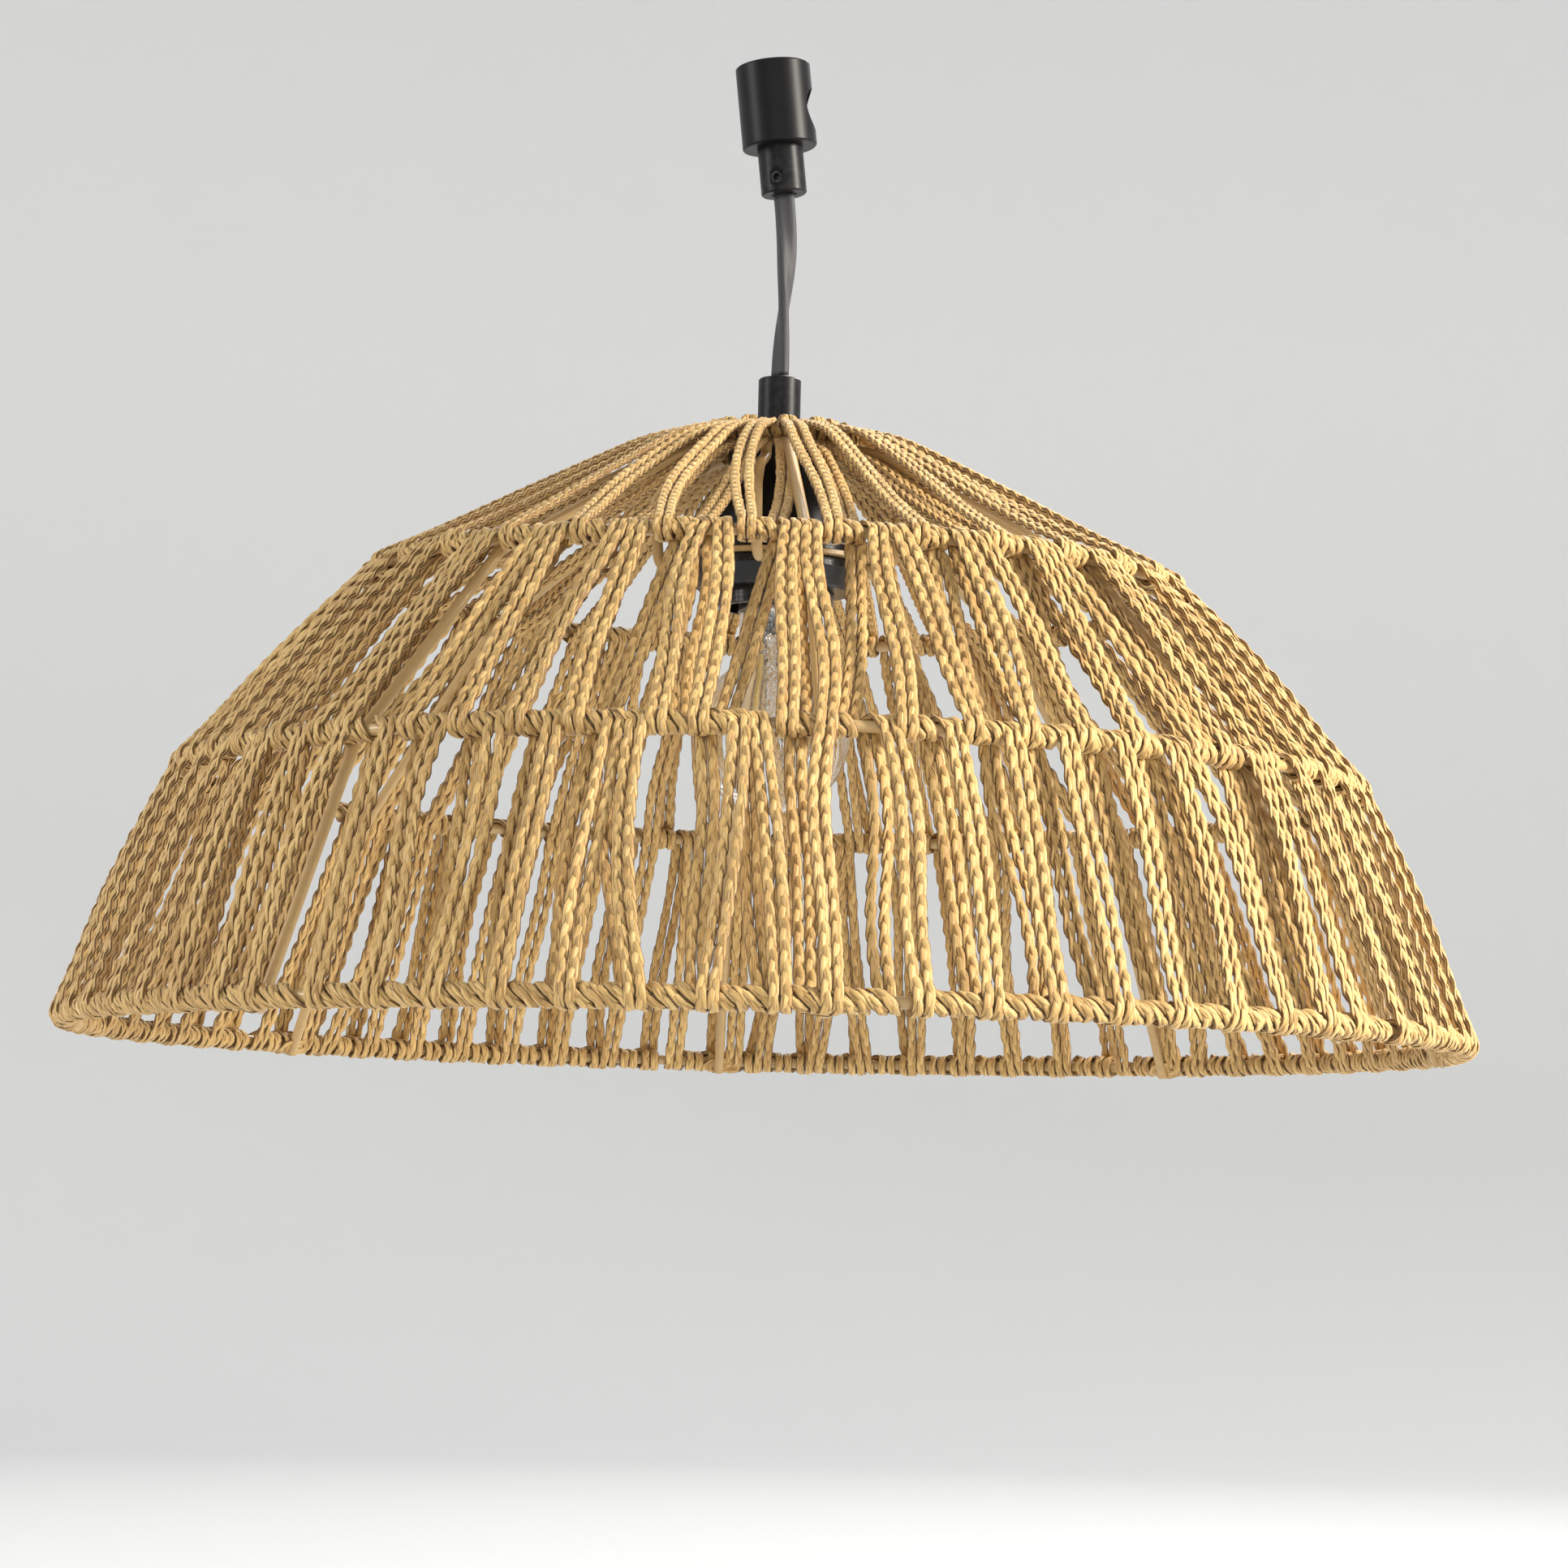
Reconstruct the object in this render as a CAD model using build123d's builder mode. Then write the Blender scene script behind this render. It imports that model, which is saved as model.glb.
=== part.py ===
"""Woven dome lamp shade on a welded wire frame.

The shade hangs by a short flat cord from the end cap of a lamp arm. A lampholder carries it,
clamps it with a screwed ring and takes a clear bulb.

Frame: millimetres, +Z up. The origin is on the axis of the arm bore in the end cap, and the
shade is round about Z.
"""

import os
from math import atan2, cos, degrees, hypot, radians, sin

from build123d import *

os.makedirs("parts", exist_ok=True)

# Wire frame: ring radii and heights are those of the wire's centre line.
WIRE_D = 4.0
WIRE_R = WIRE_D / 2
TOP_RING = (27.0, -125.0)
SHOULDER = (51.0, -131.0)
UPPER_HOOP = (146.0, -180.5)
MIDDLE_HOOP = (212.0, -253.0)
BOTTOM_HOOP = (250.0, -342.0)
RIB_COUNT = 8
RIB_START = 4.5
RIB_PITCH = 360 / RIB_COUNT
RIB_BEND_R = 12.0
RIB_TAIL = (1.2, -3.0)
WELD_SINK = 0.1

# Plaited cord, wound flat round the hoops and laid in two layers between them.
PLAIT_THICK = 2.3
BINDING_GAP = 0.15
WRAP_R = WIRE_R + PLAIT_THICK
WRAP_GAP = 0.3
RIB_SLOT = WIRE_D + 1.0
SPLIT_SLOT = 0.6

# Fitter plate and spider
PLATE_R = 36.5
PLATE_BORE_R = 22.0
PLATE_TOP = -168.5
PLATE_THICK = 1.5
ARM_COUNT = 4
ARM_TO_RIB = 0.3 * RIB_PITCH
ARM_START = RIB_START + 2 * RIB_PITCH - ARM_TO_RIB
ARM_FOOT_Z = PLATE_TOP - PLATE_THICK - WIRE_R + WELD_SINK
ARM_OUTLINE = [
    (25.6, -128.6),
    (27.5, -134.5),
    (40.0, -139.5),
    (45.5, -147.0),
    (43.0, -173.4),
    (33.2, ARM_FOOT_Z),
]
ARM_BEND_RADII = [2.5, 5.0, 5.0, 6.5]

# Lampholder
NECK_TOP = -101.3
NECK_R = 7.8
NECK_BORE_R = 4.9
NECK_END = -131.0
CAP_WALL = 1.6
BELL_TOP = -124.0
BELL_FOOT = -163.6
BELL_FOOT_R = 26.0
FLANGE_R = 33.0
FLANGE_TOP = -163.9
FLANGE_FOOT = -168.3
TUBE_R = 21.5
TUBE_WALL = 2.6
TUBE_FOOT = -186.5
SPIGOT_TOP = -155.0
HOLDER_SPIGOT_R = 22.3
BLOCK_R = 16.5
BLOCK_TOP = -149.0
BLOCK_FOOT = -159.5
SHELL_BORE_R = 13.5
SHELL_WALL = 0.4
SHELL_FOOT = -184.0

# Retaining ring
RING_TOP = PLATE_TOP - PLATE_THICK - 0.2
RING_FOOT = -180.5
RING_FLANGE_R = 32.5
RING_FOOT_R = 28.5
RING_BORE_R = TUBE_R + 0.3

# Bulb
BASE_R = 13.2
BASE_WALL = 0.4
BASE_RIM = -188.0
BASE_HEAD = -166.0
BULB_R = 28.5
BULB_CENTRE = -233.0
BULB_NECK_R = 12.6
BULB_NECK_TOP = -185.4
GLASS_WALL = 0.9
FILAMENT_COUNT = 4
FILAMENT_R = 0.8

# Head on the lamp arm
ARM_BORE_R = 8.05
ARM_BORE_END = -12.0
HEAD_LEAN = 6.5
CAP_R = 13.75
CAP_UP = 16.0
CAP_DOWN = 15.0
COUPLER_R = 8.4
COUPLER_DROP = 32.5
COUPLER_BORE_R = 4.6
SPIGOT_R = 4.5
SPIGOT_LENGTH = 5.0
SCREW_R = 2.5
SCREW_LENGTH = 4.0
SCREW_DROP = 27.3
SCREW_TURN = 17.5
SCREW_RECESS = 0.4
SCREW_CLEARANCE = 0.06
SCREW_SEAT_R = 3.4
SCREW_EDGE = 0.35
HEX_SIZE = 2.5
HEX_DEPTH = 2.2
FEED_BORE_R = 3.0

# Flat cord: width, thickness and the hand-chosen route of its centre line
CORD_WIDTH = 7.6
CORD_THICK = 3.8
CORD_ARC_SHARE = 0.45
CORD_ROUTE = [
    (0.0, 0.0, -33.9),
    (1.5, 0.0, -47.0),
    (1.3, 0.0, -65.5),
    (0.25, 0.0, -83.5),
    (0.0, 0.0, -99.8),
]


def unit_normal(start, end):
    """Unit vector square to a run of the dome's outline, pointing into the dome."""
    along_r, along_z = end[0] - start[0], end[1] - start[1]
    length = hypot(along_r, along_z)
    return along_z / length, -along_r / length


def inset_outline(points, depth):
    """The outline moved into the dome by depth, square to its runs."""
    moved = []
    for index, point in enumerate(points):
        before = points[max(index - 1, 0)], points[max(index, 1)]
        after = points[min(index, len(points) - 2)], points[min(index + 1, len(points) - 1)]
        first, second = unit_normal(*before), unit_normal(*after)
        mean = (first[0] + second[0], first[1] + second[1])
        stretch = 2 * depth / (mean[0] ** 2 + mean[1] ** 2)
        moved.append((point[0] + mean[0] * stretch, point[1] + mean[1] * stretch))
    return moved


def shortened(points, gap):
    """The outline with each end drawn back by gap, clear of the wrapped hoops."""
    trimmed = list(points)
    for end, beside in ((0, 1), (-1, -2)):
        run_r = points[beside][0] - points[end][0]
        run_z = points[beside][1] - points[end][1]
        share = gap / hypot(run_r, run_z)
        trimmed[end] = (points[end][0] + run_r * share, points[end][1] + run_z * share)
    return trimmed


def radial_plane(angle):
    """Upright plane through the shade's axis: local x runs outwards, local y runs up."""
    outward = (cos(radians(angle)), sin(radians(angle)), 0)
    sideways = (sin(radians(angle)), -cos(radians(angle)), 0)
    return Plane(origin=(0, 0, 0), x_dir=outward, z_dir=sideways)


def corner_radii(points, share):
    """Bend radius at each corner of a route, whose arc takes up this share of the shorter run beside it."""
    fitted = []
    for before, corner, after in zip(points, points[1:], points[2:]):
        run_in = Vector(*corner) - Vector(*before)
        run_out = Vector(*after) - Vector(*corner)
        turn = radians(run_in.get_angle(run_out))
        fitted.append(share * min(run_in.length, run_out.length) * cos(turn / 2) / sin(turn / 2))
    return fitted


# ---------------------------------------------------------------- wire hoops
HOOPS = {
    "top_ring": TOP_RING,
    "upper_hoop": UPPER_HOOP,
    "middle_hoop": MIDDLE_HOOP,
    "bottom_hoop": BOTTOM_HOOP,
}
for hoop_name, hoop_place in HOOPS.items():
    with BuildPart() as hoop:
        with BuildSketch(Plane.XZ):
            with Locations(hoop_place):
                Circle(WIRE_R)
        revolve(axis=Axis.Z)
    hoop.part.label = hoop_name
    export_step(hoop.part, f"parts/{hoop_name}.step")

# ---------------------------------------------------------------- ribs, welded inside the hoops
rib_outline = inset_outline([TOP_RING, SHOULDER, UPPER_HOOP, MIDDLE_HOOP, BOTTOM_HOOP], WIRE_D - WELD_SINK)
rib_foot_r, rib_foot_z = rib_outline[-1]
rib_outline[-1] = (rib_foot_r + RIB_TAIL[0], rib_foot_z + RIB_TAIL[1])
for rib_number in range(RIB_COUNT):
    rib_name = f"rib_{rib_number + 1}"
    rib_plane = radial_plane(RIB_START + rib_number * RIB_PITCH)
    with BuildPart() as rib:
        with BuildLine(rib_plane) as rib_path:
            FilletPolyline(*rib_outline, radius=RIB_BEND_R)
        with BuildSketch(Plane(origin=rib_path.wire() @ 0, z_dir=rib_path.wire() % 0)):
            Circle(WIRE_R)
        sweep(path=rib_path.wire())
    rib.part.label = rib_name
    export_step(rib.part, f"parts/{rib_name}.step")

# ---------------------------------------------------------------- cord wound round the hoops
WRAPS = {
    "top_ring_wrap": TOP_RING,
    "upper_wrap": UPPER_HOOP,
    "middle_wrap": MIDDLE_HOOP,
    "bottom_wrap": BOTTOM_HOOP,
}
SLOT_REACH = 4 * WRAP_R
for wrap_name, wrap_place in WRAPS.items():
    with BuildPart() as wrap:
        with BuildSketch(Plane.XZ):
            with Locations(wrap_place):
                Circle(WRAP_R)
                Circle(WIRE_R + BINDING_GAP, mode=Mode.SUBTRACT)
        revolve(axis=Axis.Z)
        with BuildSketch(Plane.XY.offset(wrap_place[1] + WRAP_R + 1)):
            with PolarLocations(wrap_place[0], RIB_COUNT, RIB_START):
                Rectangle(SLOT_REACH, RIB_SLOT)
            if wrap_name == "top_ring_wrap":
                # One wide slot takes each spider arm and the rib beside it.
                for slot_turn in (ARM_START, ARM_START + ARM_TO_RIB / 2):
                    with PolarLocations(wrap_place[0], ARM_COUNT, slot_turn):
                        Rectangle(SLOT_REACH, RIB_SLOT)
            else:
                with PolarLocations(wrap_place[0], RIB_COUNT, RIB_START + RIB_PITCH / 2):
                    Rectangle(SLOT_REACH, SPLIT_SLOT)
        extrude(amount=-2 * WRAP_R - 2, mode=Mode.SUBTRACT)
    wrap.part.label = wrap_name
    export_step(wrap.part, f"parts/{wrap_name}.step")

# ---------------------------------------------------------------- cord laid between the hoops
WINDINGS = {
    "upper_winding": [TOP_RING, SHOULDER, UPPER_HOOP],
    "middle_winding": [UPPER_HOOP, MIDDLE_HOOP],
    "lower_winding": [MIDDLE_HOOP, BOTTOM_HOOP],
}
for winding_name, winding_outline in WINDINGS.items():
    middle_line = shortened(winding_outline, WRAP_R + WRAP_GAP)
    inner_face = inset_outline(middle_line, WRAP_R)
    outer_face = inset_outline(middle_line, -WRAP_R)
    slot_length = outer_face[-1][0]
    with BuildPart() as winding:
        with BuildSketch(Plane.XZ):
            with BuildLine():
                Polyline(*inner_face, *reversed(outer_face), close=True)
            make_face()
        revolve(axis=Axis.Z)
        with BuildSketch(Plane.XY.offset(winding_outline[0][1] + 2 * WRAP_R)):
            with PolarLocations(slot_length / 2, RIB_COUNT, RIB_START):
                Rectangle(slot_length + 2 * WRAP_R, RIB_SLOT)
            with PolarLocations(slot_length / 2, RIB_COUNT, RIB_START + RIB_PITCH / 2):
                Rectangle(slot_length + 2 * WRAP_R, SPLIT_SLOT)
        extrude(amount=winding_outline[-1][1] - winding_outline[0][1] - 4 * WRAP_R, mode=Mode.SUBTRACT)
    winding.part.label = winding_name
    export_step(winding.part, f"parts/{winding_name}.step")

# ---------------------------------------------------------------- fitter plate and spider
with BuildPart() as fitter_plate:
    with BuildSketch(Plane.XY.offset(PLATE_TOP)):
        Circle(PLATE_R)
        Circle(PLATE_BORE_R, mode=Mode.SUBTRACT)
    extrude(amount=-PLATE_THICK)
fitter_plate.part.label = "fitter_plate"
export_step(fitter_plate.part, "parts/fitter_plate.step")

with BuildPart() as spider_arms:
    for arm_number in range(ARM_COUNT):
        arm_plane = radial_plane(ARM_START + arm_number * 360 / ARM_COUNT)
        with BuildLine(arm_plane) as arm_path:
            FilletPolyline(*ARM_OUTLINE, radius=ARM_BEND_RADII)
        with BuildSketch(Plane(origin=arm_path.wire() @ 0, z_dir=arm_path.wire() % 0)) as arm_section:
            Circle(WIRE_R)
        sweep(sections=arm_section.sketch, path=arm_path.wire())
spider_arms.part.label = "spider_arms"
export_step(spider_arms.part, "parts/spider_arms.step")

# ---------------------------------------------------------------- lampholder
with BuildPart() as neck_sleeve:
    with BuildSketch(Plane.XZ):
        with BuildLine():
            Polyline(
                (NECK_BORE_R, NECK_END),
                (NECK_R - 1.2, NECK_END),
                (NECK_R - 1.2, BELL_TOP + 0.2),
                (NECK_R, BELL_TOP + 0.2),
                (NECK_R, NECK_TOP - 0.6),
                (NECK_R - 0.6, NECK_TOP),
                (NECK_BORE_R + 0.5, NECK_TOP),
                (NECK_BORE_R, NECK_TOP - 0.5),
                close=True,
            )
        make_face()
    revolve(axis=Axis.Z)
neck_sleeve.part.label = "neck_sleeve"
export_step(neck_sleeve.part, "parts/neck_sleeve.step")

with BuildPart() as cord_grip:
    with BuildSketch(Plane.XY.offset(NECK_TOP - 2)):
        Circle(NECK_BORE_R - 0.1)
        SlotOverall(CORD_WIDTH + 0.2, CORD_THICK + 0.2, mode=Mode.SUBTRACT)
    extrude(amount=-10)
cord_grip.part.label = "cord_grip"
export_step(cord_grip.part, "parts/cord_grip.step")

with BuildPart() as holder_cap:
    with BuildSketch(Plane.XZ):
        with BuildLine():
            crown = Line((NECK_R - 1.1, BELL_TOP), (11.5, BELL_TOP))
            shoulder = TangentArc(crown @ 1, (18.2, BELL_TOP - 8.5), tangent=crown % 1)
            skirt = Spline(
                shoulder @ 1,
                (24.2, -150.0),
                (BELL_FOOT_R, BELL_FOOT),
                tangents=(shoulder % 1, (0, -1)),
            )
            inner_foot = Line(skirt @ 1, (BELL_FOOT_R - CAP_WALL, BELL_FOOT))
            inner_skirt = Spline(
                inner_foot @ 1,
                (24.2 - CAP_WALL, -150.4),
                (16.9, BELL_TOP - 9.4),
                tangents=((0, 1), (-(shoulder % 1).X, -(shoulder % 1).Y)),
            )
            inner_crown = Polyline(
                inner_skirt @ 1,
                (11.0, BELL_TOP - CAP_WALL),
                (NECK_R - 1.1, BELL_TOP - CAP_WALL),
                crown @ 0,
            )
        make_face()
    revolve(axis=Axis.Z)
holder_cap.part.label = "holder_cap"
export_step(holder_cap.part, "parts/holder_cap.step")

with BuildPart() as holder_body:
    with BuildSketch(Plane.XZ):
        with BuildLine():
            Polyline(
                (TUBE_R - TUBE_WALL, TUBE_FOOT),
                (TUBE_R - 0.5, TUBE_FOOT),
                (TUBE_R, TUBE_FOOT + 0.5),
                (TUBE_R, FLANGE_FOOT),
                (FLANGE_R - 0.6, FLANGE_FOOT),
                (FLANGE_R, FLANGE_FOOT + 0.6),
                (FLANGE_R, FLANGE_TOP - 1.4),
                (FLANGE_R - 1.4, FLANGE_TOP),
                (HOLDER_SPIGOT_R, FLANGE_TOP),
                (HOLDER_SPIGOT_R, SPIGOT_TOP),
                (TUBE_R - TUBE_WALL, SPIGOT_TOP),
                close=True,
            )
        make_face()
    revolve(axis=Axis.Z)
holder_body.part.label = "holder_body"
export_step(holder_body.part, "parts/holder_body.step")

TERMINAL_X = 9.5
TERMINAL_SCREW_R = 1.5
TERMINAL_SCREW_LENGTH = 5.0
TERMINAL_HEAD_R = 2.7
TERMINAL_HEAD_HEIGHT = 1.9
TERMINAL_SLOT = (6.0, 0.7, 0.9)
HEAD_GAP = 0.1
BLOCK_EDGE = 0.8
with BuildPart() as contact_block:
    with BuildSketch(Plane.XY.offset(BLOCK_TOP)):
        Circle(BLOCK_R)
    extrude(amount=BLOCK_FOOT - BLOCK_TOP)
    chamfer(contact_block.edges().group_by(Axis.Z)[-1], BLOCK_EDGE)
    with Locations((TERMINAL_X, 0, BLOCK_TOP), (-TERMINAL_X, 0, BLOCK_TOP)):
        Hole(TERMINAL_SCREW_R + HEAD_GAP, TERMINAL_SCREW_LENGTH + 1)
contact_block.part.label = "contact_block"
export_step(contact_block.part, "parts/contact_block.step")

with BuildPart() as terminal_screws:
    with BuildSketch(Plane.XY.offset(BLOCK_TOP - TERMINAL_SCREW_LENGTH)):
        with Locations((TERMINAL_X, 0), (-TERMINAL_X, 0)):
            Circle(TERMINAL_SCREW_R)
    extrude(amount=TERMINAL_SCREW_LENGTH + HEAD_GAP)
    with BuildSketch(Plane.XY.offset(BLOCK_TOP + HEAD_GAP)):
        with Locations((TERMINAL_X, 0), (-TERMINAL_X, 0)):
            Circle(TERMINAL_HEAD_R)
    extrude(amount=TERMINAL_HEAD_HEIGHT)
    with BuildSketch(Plane.XY.offset(BLOCK_TOP + HEAD_GAP + TERMINAL_HEAD_HEIGHT)):
        with Locations((TERMINAL_X, 0), (-TERMINAL_X, 0)):
            Rectangle(TERMINAL_SLOT[0], TERMINAL_SLOT[1])
    extrude(amount=-TERMINAL_SLOT[2], mode=Mode.SUBTRACT)
terminal_screws.part.label = "terminal_screws"
export_step(terminal_screws.part, "parts/terminal_screws.step")

LEAD_R = 0.9
LEAD_LINE = [(1.9, NECK_TOP - 12.2), (1.9, NECK_TOP - 34.0), (5.2, NECK_TOP - 40.5), (5.7, BLOCK_TOP + 1.0)]
LEAD_BEND_RADII = [4.0, 3.0]
with BuildPart() as holder_leads:
    for side in (1, -1):
        lead_points = [(side * reach, 0, height) for reach, height in LEAD_LINE]
        with BuildLine() as lead_path:
            FilletPolyline(*lead_points, radius=LEAD_BEND_RADII)
        with BuildSketch(Plane(origin=lead_path.wire() @ 0, z_dir=lead_path.wire() % 0)) as lead_section:
            Circle(LEAD_R)
        sweep(sections=lead_section.sketch, path=lead_path.wire())
holder_leads.part.label = "holder_leads"
export_step(holder_leads.part, "parts/holder_leads.step")

with BuildPart() as screw_shell:
    with BuildSketch(Plane.XZ):
        with BuildLine():
            Polyline(
                (SHELL_BORE_R, SHELL_FOOT),
                (SHELL_BORE_R + SHELL_WALL, SHELL_FOOT),
                (SHELL_BORE_R + SHELL_WALL, BLOCK_FOOT - 0.1),
                (8.0, BLOCK_FOOT - 0.1),
                (8.0, BLOCK_FOOT - 0.1 - SHELL_WALL),
                (SHELL_BORE_R, BLOCK_FOOT - 0.1 - SHELL_WALL),
                close=True,
            )
        make_face()
    revolve(axis=Axis.Z)
screw_shell.part.label = "screw_shell"
export_step(screw_shell.part, "parts/screw_shell.step")

with BuildPart() as centre_contact:
    with BuildSketch(Plane.XY.offset(BLOCK_FOOT - 0.1)):
        Circle(4.0)
    extrude(amount=-0.8)
    with BuildSketch(Plane.XY.offset(BLOCK_FOOT - 0.9)):
        Circle(2.2)
    extrude(amount=-0.9)
    fillet(centre_contact.edges().group_by(Axis.Z)[0], 0.5)
centre_contact.part.label = "centre_contact"
export_step(centre_contact.part, "parts/centre_contact.step")

with BuildPart() as retaining_ring:
    with BuildSketch(Plane.XZ):
        with BuildLine():
            Polyline(
                (RING_BORE_R, RING_TOP),
                (RING_FLANGE_R - 0.5, RING_TOP),
                (RING_FLANGE_R, RING_TOP - 0.5),
                (RING_FLANGE_R, RING_TOP - 3.2),
                (RING_FOOT_R, RING_FOOT + 1.0),
                (RING_FOOT_R - 1.0, RING_FOOT),
                (RING_BORE_R, RING_FOOT),
                close=True,
            )
        make_face()
    revolve(axis=Axis.Z)
retaining_ring.part.label = "retaining_ring"
export_step(retaining_ring.part, "parts/retaining_ring.step")

# ---------------------------------------------------------------- bulb
THREAD_PITCH = 3.6
THREAD_TURNS = 4
ROOT_R = BASE_R - 1.0
base_outside = [(BASE_R, BASE_RIM), (BASE_R, BASE_RIM + 3.0)]
for turn_number in range(THREAD_TURNS):
    turn_foot = BASE_RIM + 3.6 + turn_number * THREAD_PITCH
    base_outside.append((ROOT_R, turn_foot + 0.6))
    base_outside.append((BASE_R - 0.1, turn_foot + 0.5 * THREAD_PITCH))
    base_outside.append((BASE_R - 0.1, turn_foot + 0.75 * THREAD_PITCH))
base_outside += [(ROOT_R, BASE_HEAD - 1.8), (ROOT_R - 2.0, BASE_HEAD)]
base_inside = [(radius - BASE_WALL, height) for radius, height in reversed(base_outside)]
with BuildPart() as bulb_base:
    with BuildSketch(Plane.XZ):
        with BuildLine():
            Polyline(*base_outside, *base_inside, close=True)
        make_face()
    revolve(axis=Axis.Z)
bulb_base.part.label = "bulb_base"
export_step(bulb_base.part, "parts/bulb_base.step")

with BuildPart() as bulb_insulator:
    with BuildSketch(Plane.XY.offset(BASE_HEAD + 0.1)):
        Circle(ROOT_R - 2.2)
    with BuildSketch(Plane.XY.offset(BASE_HEAD + 3.0)):
        Circle(5.2)
    loft()
bulb_insulator.part.label = "bulb_insulator"
export_step(bulb_insulator.part, "parts/bulb_insulator.step")

with BuildPart() as bulb_contact:
    with BuildSketch(Plane.XY.offset(BASE_HEAD + 3.1)):
        Circle(4.6)
    extrude(amount=0.9)
    fillet(bulb_contact.edges().group_by(Axis.Z)[-1], 0.4)
bulb_contact.part.label = "bulb_contact"
export_step(bulb_contact.part, "parts/bulb_contact.step")

WAIST_ANGLE = 50.0
waist_cos = cos(radians(WAIST_ANGLE))
waist_sin = sin(radians(WAIST_ANGLE))
# The waist arc touches the globe at WAIST_ANGLE above its middle and runs up into the neck.
WAIST_R = (BULB_R * waist_cos - BULB_NECK_R) / (1 - waist_cos)
waist_z = BULB_CENTRE + (BULB_R + WAIST_R) * waist_sin


def globe_outline(inset):
    """Corner points of the globe's profile, from its lowest point up to the neck."""
    globe_r = BULB_R - inset
    arc_r = WAIST_R + inset
    lowest = (0, BULB_CENTRE - globe_r)
    widest = (globe_r, BULB_CENTRE)
    joint = (globe_r * waist_cos, BULB_CENTRE + globe_r * waist_sin)
    arc_angle = radians(WAIST_ANGLE / 2)
    waist_mid = (
        BULB_NECK_R + WAIST_R - arc_r * cos(arc_angle),
        waist_z - arc_r * sin(arc_angle),
    )
    neck_foot = (BULB_NECK_R - inset, waist_z)
    neck_top = (BULB_NECK_R - inset, BULB_NECK_TOP)
    return lowest, widest, joint, waist_mid, neck_foot, neck_top


with BuildPart() as bulb_glass:
    with BuildSketch(Plane.XZ):
        with BuildLine():
            low, wide, join, waist, foot, top = globe_outline(0)
            in_low, in_wide, in_join, in_waist, in_foot, in_top = globe_outline(GLASS_WALL)
            ThreePointArc(low, (BULB_R * cos(radians(45)), BULB_CENTRE - BULB_R * sin(radians(45))), wide)
            ThreePointArc(
                wide, (BULB_R * cos(radians(25)), BULB_CENTRE + BULB_R * sin(radians(25))), join
            )
            ThreePointArc(join, waist, foot)
            Polyline(foot, top, in_top, in_foot)
            ThreePointArc(in_foot, in_waist, in_join)
            inner_r = BULB_R - GLASS_WALL
            ThreePointArc(
                in_join, (inner_r * cos(radians(25)), BULB_CENTRE + inner_r * sin(radians(25))), in_wide
            )
            ThreePointArc(
                in_wide, (inner_r * cos(radians(45)), BULB_CENTRE - inner_r * sin(radians(45))), in_low
            )
            Line(in_low, low)
        make_face()
    revolve(axis=Axis.Z)
bulb_glass.part.label = "bulb_glass"
export_step(bulb_glass.part, "parts/bulb_glass.step")

STEM_TOP = BULB_NECK_TOP
STEM_FOOT = -229.0
STEM_TIP_R = 2.6
with BuildPart() as bulb_stem:
    with BuildSketch(Plane.XZ):
        with BuildLine():
            flare = ThreePointArc(
                (BULB_NECK_R - GLASS_WALL - 0.2, STEM_TOP),
                (5.4, STEM_TOP - 8.0),
                (3.4, STEM_TOP - 17.0),
            )
            tube_side = Line(flare @ 1, (STEM_TIP_R, STEM_FOOT + STEM_TIP_R))
            tip = RadiusArc(tube_side @ 1, (0, STEM_FOOT), STEM_TIP_R)
            Polyline(tip @ 1, (0, STEM_TOP), flare @ 0)
        make_face()
    revolve(axis=Axis.Z)
bulb_stem.part.label = "bulb_stem"
export_step(bulb_stem.part, "parts/bulb_stem.step")

FILAMENT_TOP = (6.0, -204.0)
FILAMENT_FOOT = (11.5, -241.0)
filament_lean = degrees(atan2(FILAMENT_FOOT[0] - FILAMENT_TOP[0], FILAMENT_TOP[1] - FILAMENT_FOOT[1]))
filament_run = hypot(FILAMENT_FOOT[0] - FILAMENT_TOP[0], FILAMENT_TOP[1] - FILAMENT_FOOT[1])
with BuildPart() as bulb_filaments:
    for filament_number in range(FILAMENT_COUNT):
        filament_plane = radial_plane(45 + filament_number * 360 / FILAMENT_COUNT)
        start = filament_plane.from_local_coords((*FILAMENT_TOP, 0))
        end = filament_plane.from_local_coords((*FILAMENT_FOOT, 0))
        with BuildSketch(Plane(origin=start, z_dir=end - start)):
            Circle(FILAMENT_R)
        extrude(amount=filament_run)
bulb_filaments.part.label = "bulb_filaments"
export_step(bulb_filaments.part, "parts/bulb_filaments.step")

SUPPORT_R = 0.35
SUPPORT_SIDE = 3.3
with BuildPart() as bulb_leads:
    for filament_number in range(FILAMENT_COUNT):
        filament_plane = radial_plane(45 + filament_number * 360 / FILAMENT_COUNT)
        for stem_place, tip_place in (
            ((SUPPORT_SIDE + 0.3, FILAMENT_TOP[1] + 2.5), (FILAMENT_TOP[0] - 0.1, FILAMENT_TOP[1] + 0.6)),
            ((1.2, STEM_FOOT - 1.2), (FILAMENT_FOOT[0] - 0.1, FILAMENT_FOOT[1] - 0.6)),
        ):
            start = filament_plane.from_local_coords((*stem_place, 0))
            end = filament_plane.from_local_coords((*tip_place, 0))
            with BuildSketch(Plane(origin=start, z_dir=end - start)):
                Circle(SUPPORT_R)
            extrude(amount=(end - start).length)
bulb_leads.part.label = "bulb_leads"
export_step(bulb_leads.part, "parts/bulb_leads.step")

# ---------------------------------------------------------------- head on the lamp arm
lean_sin = sin(radians(HEAD_LEAN))
lean_cos = cos(radians(HEAD_LEAN))
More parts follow.
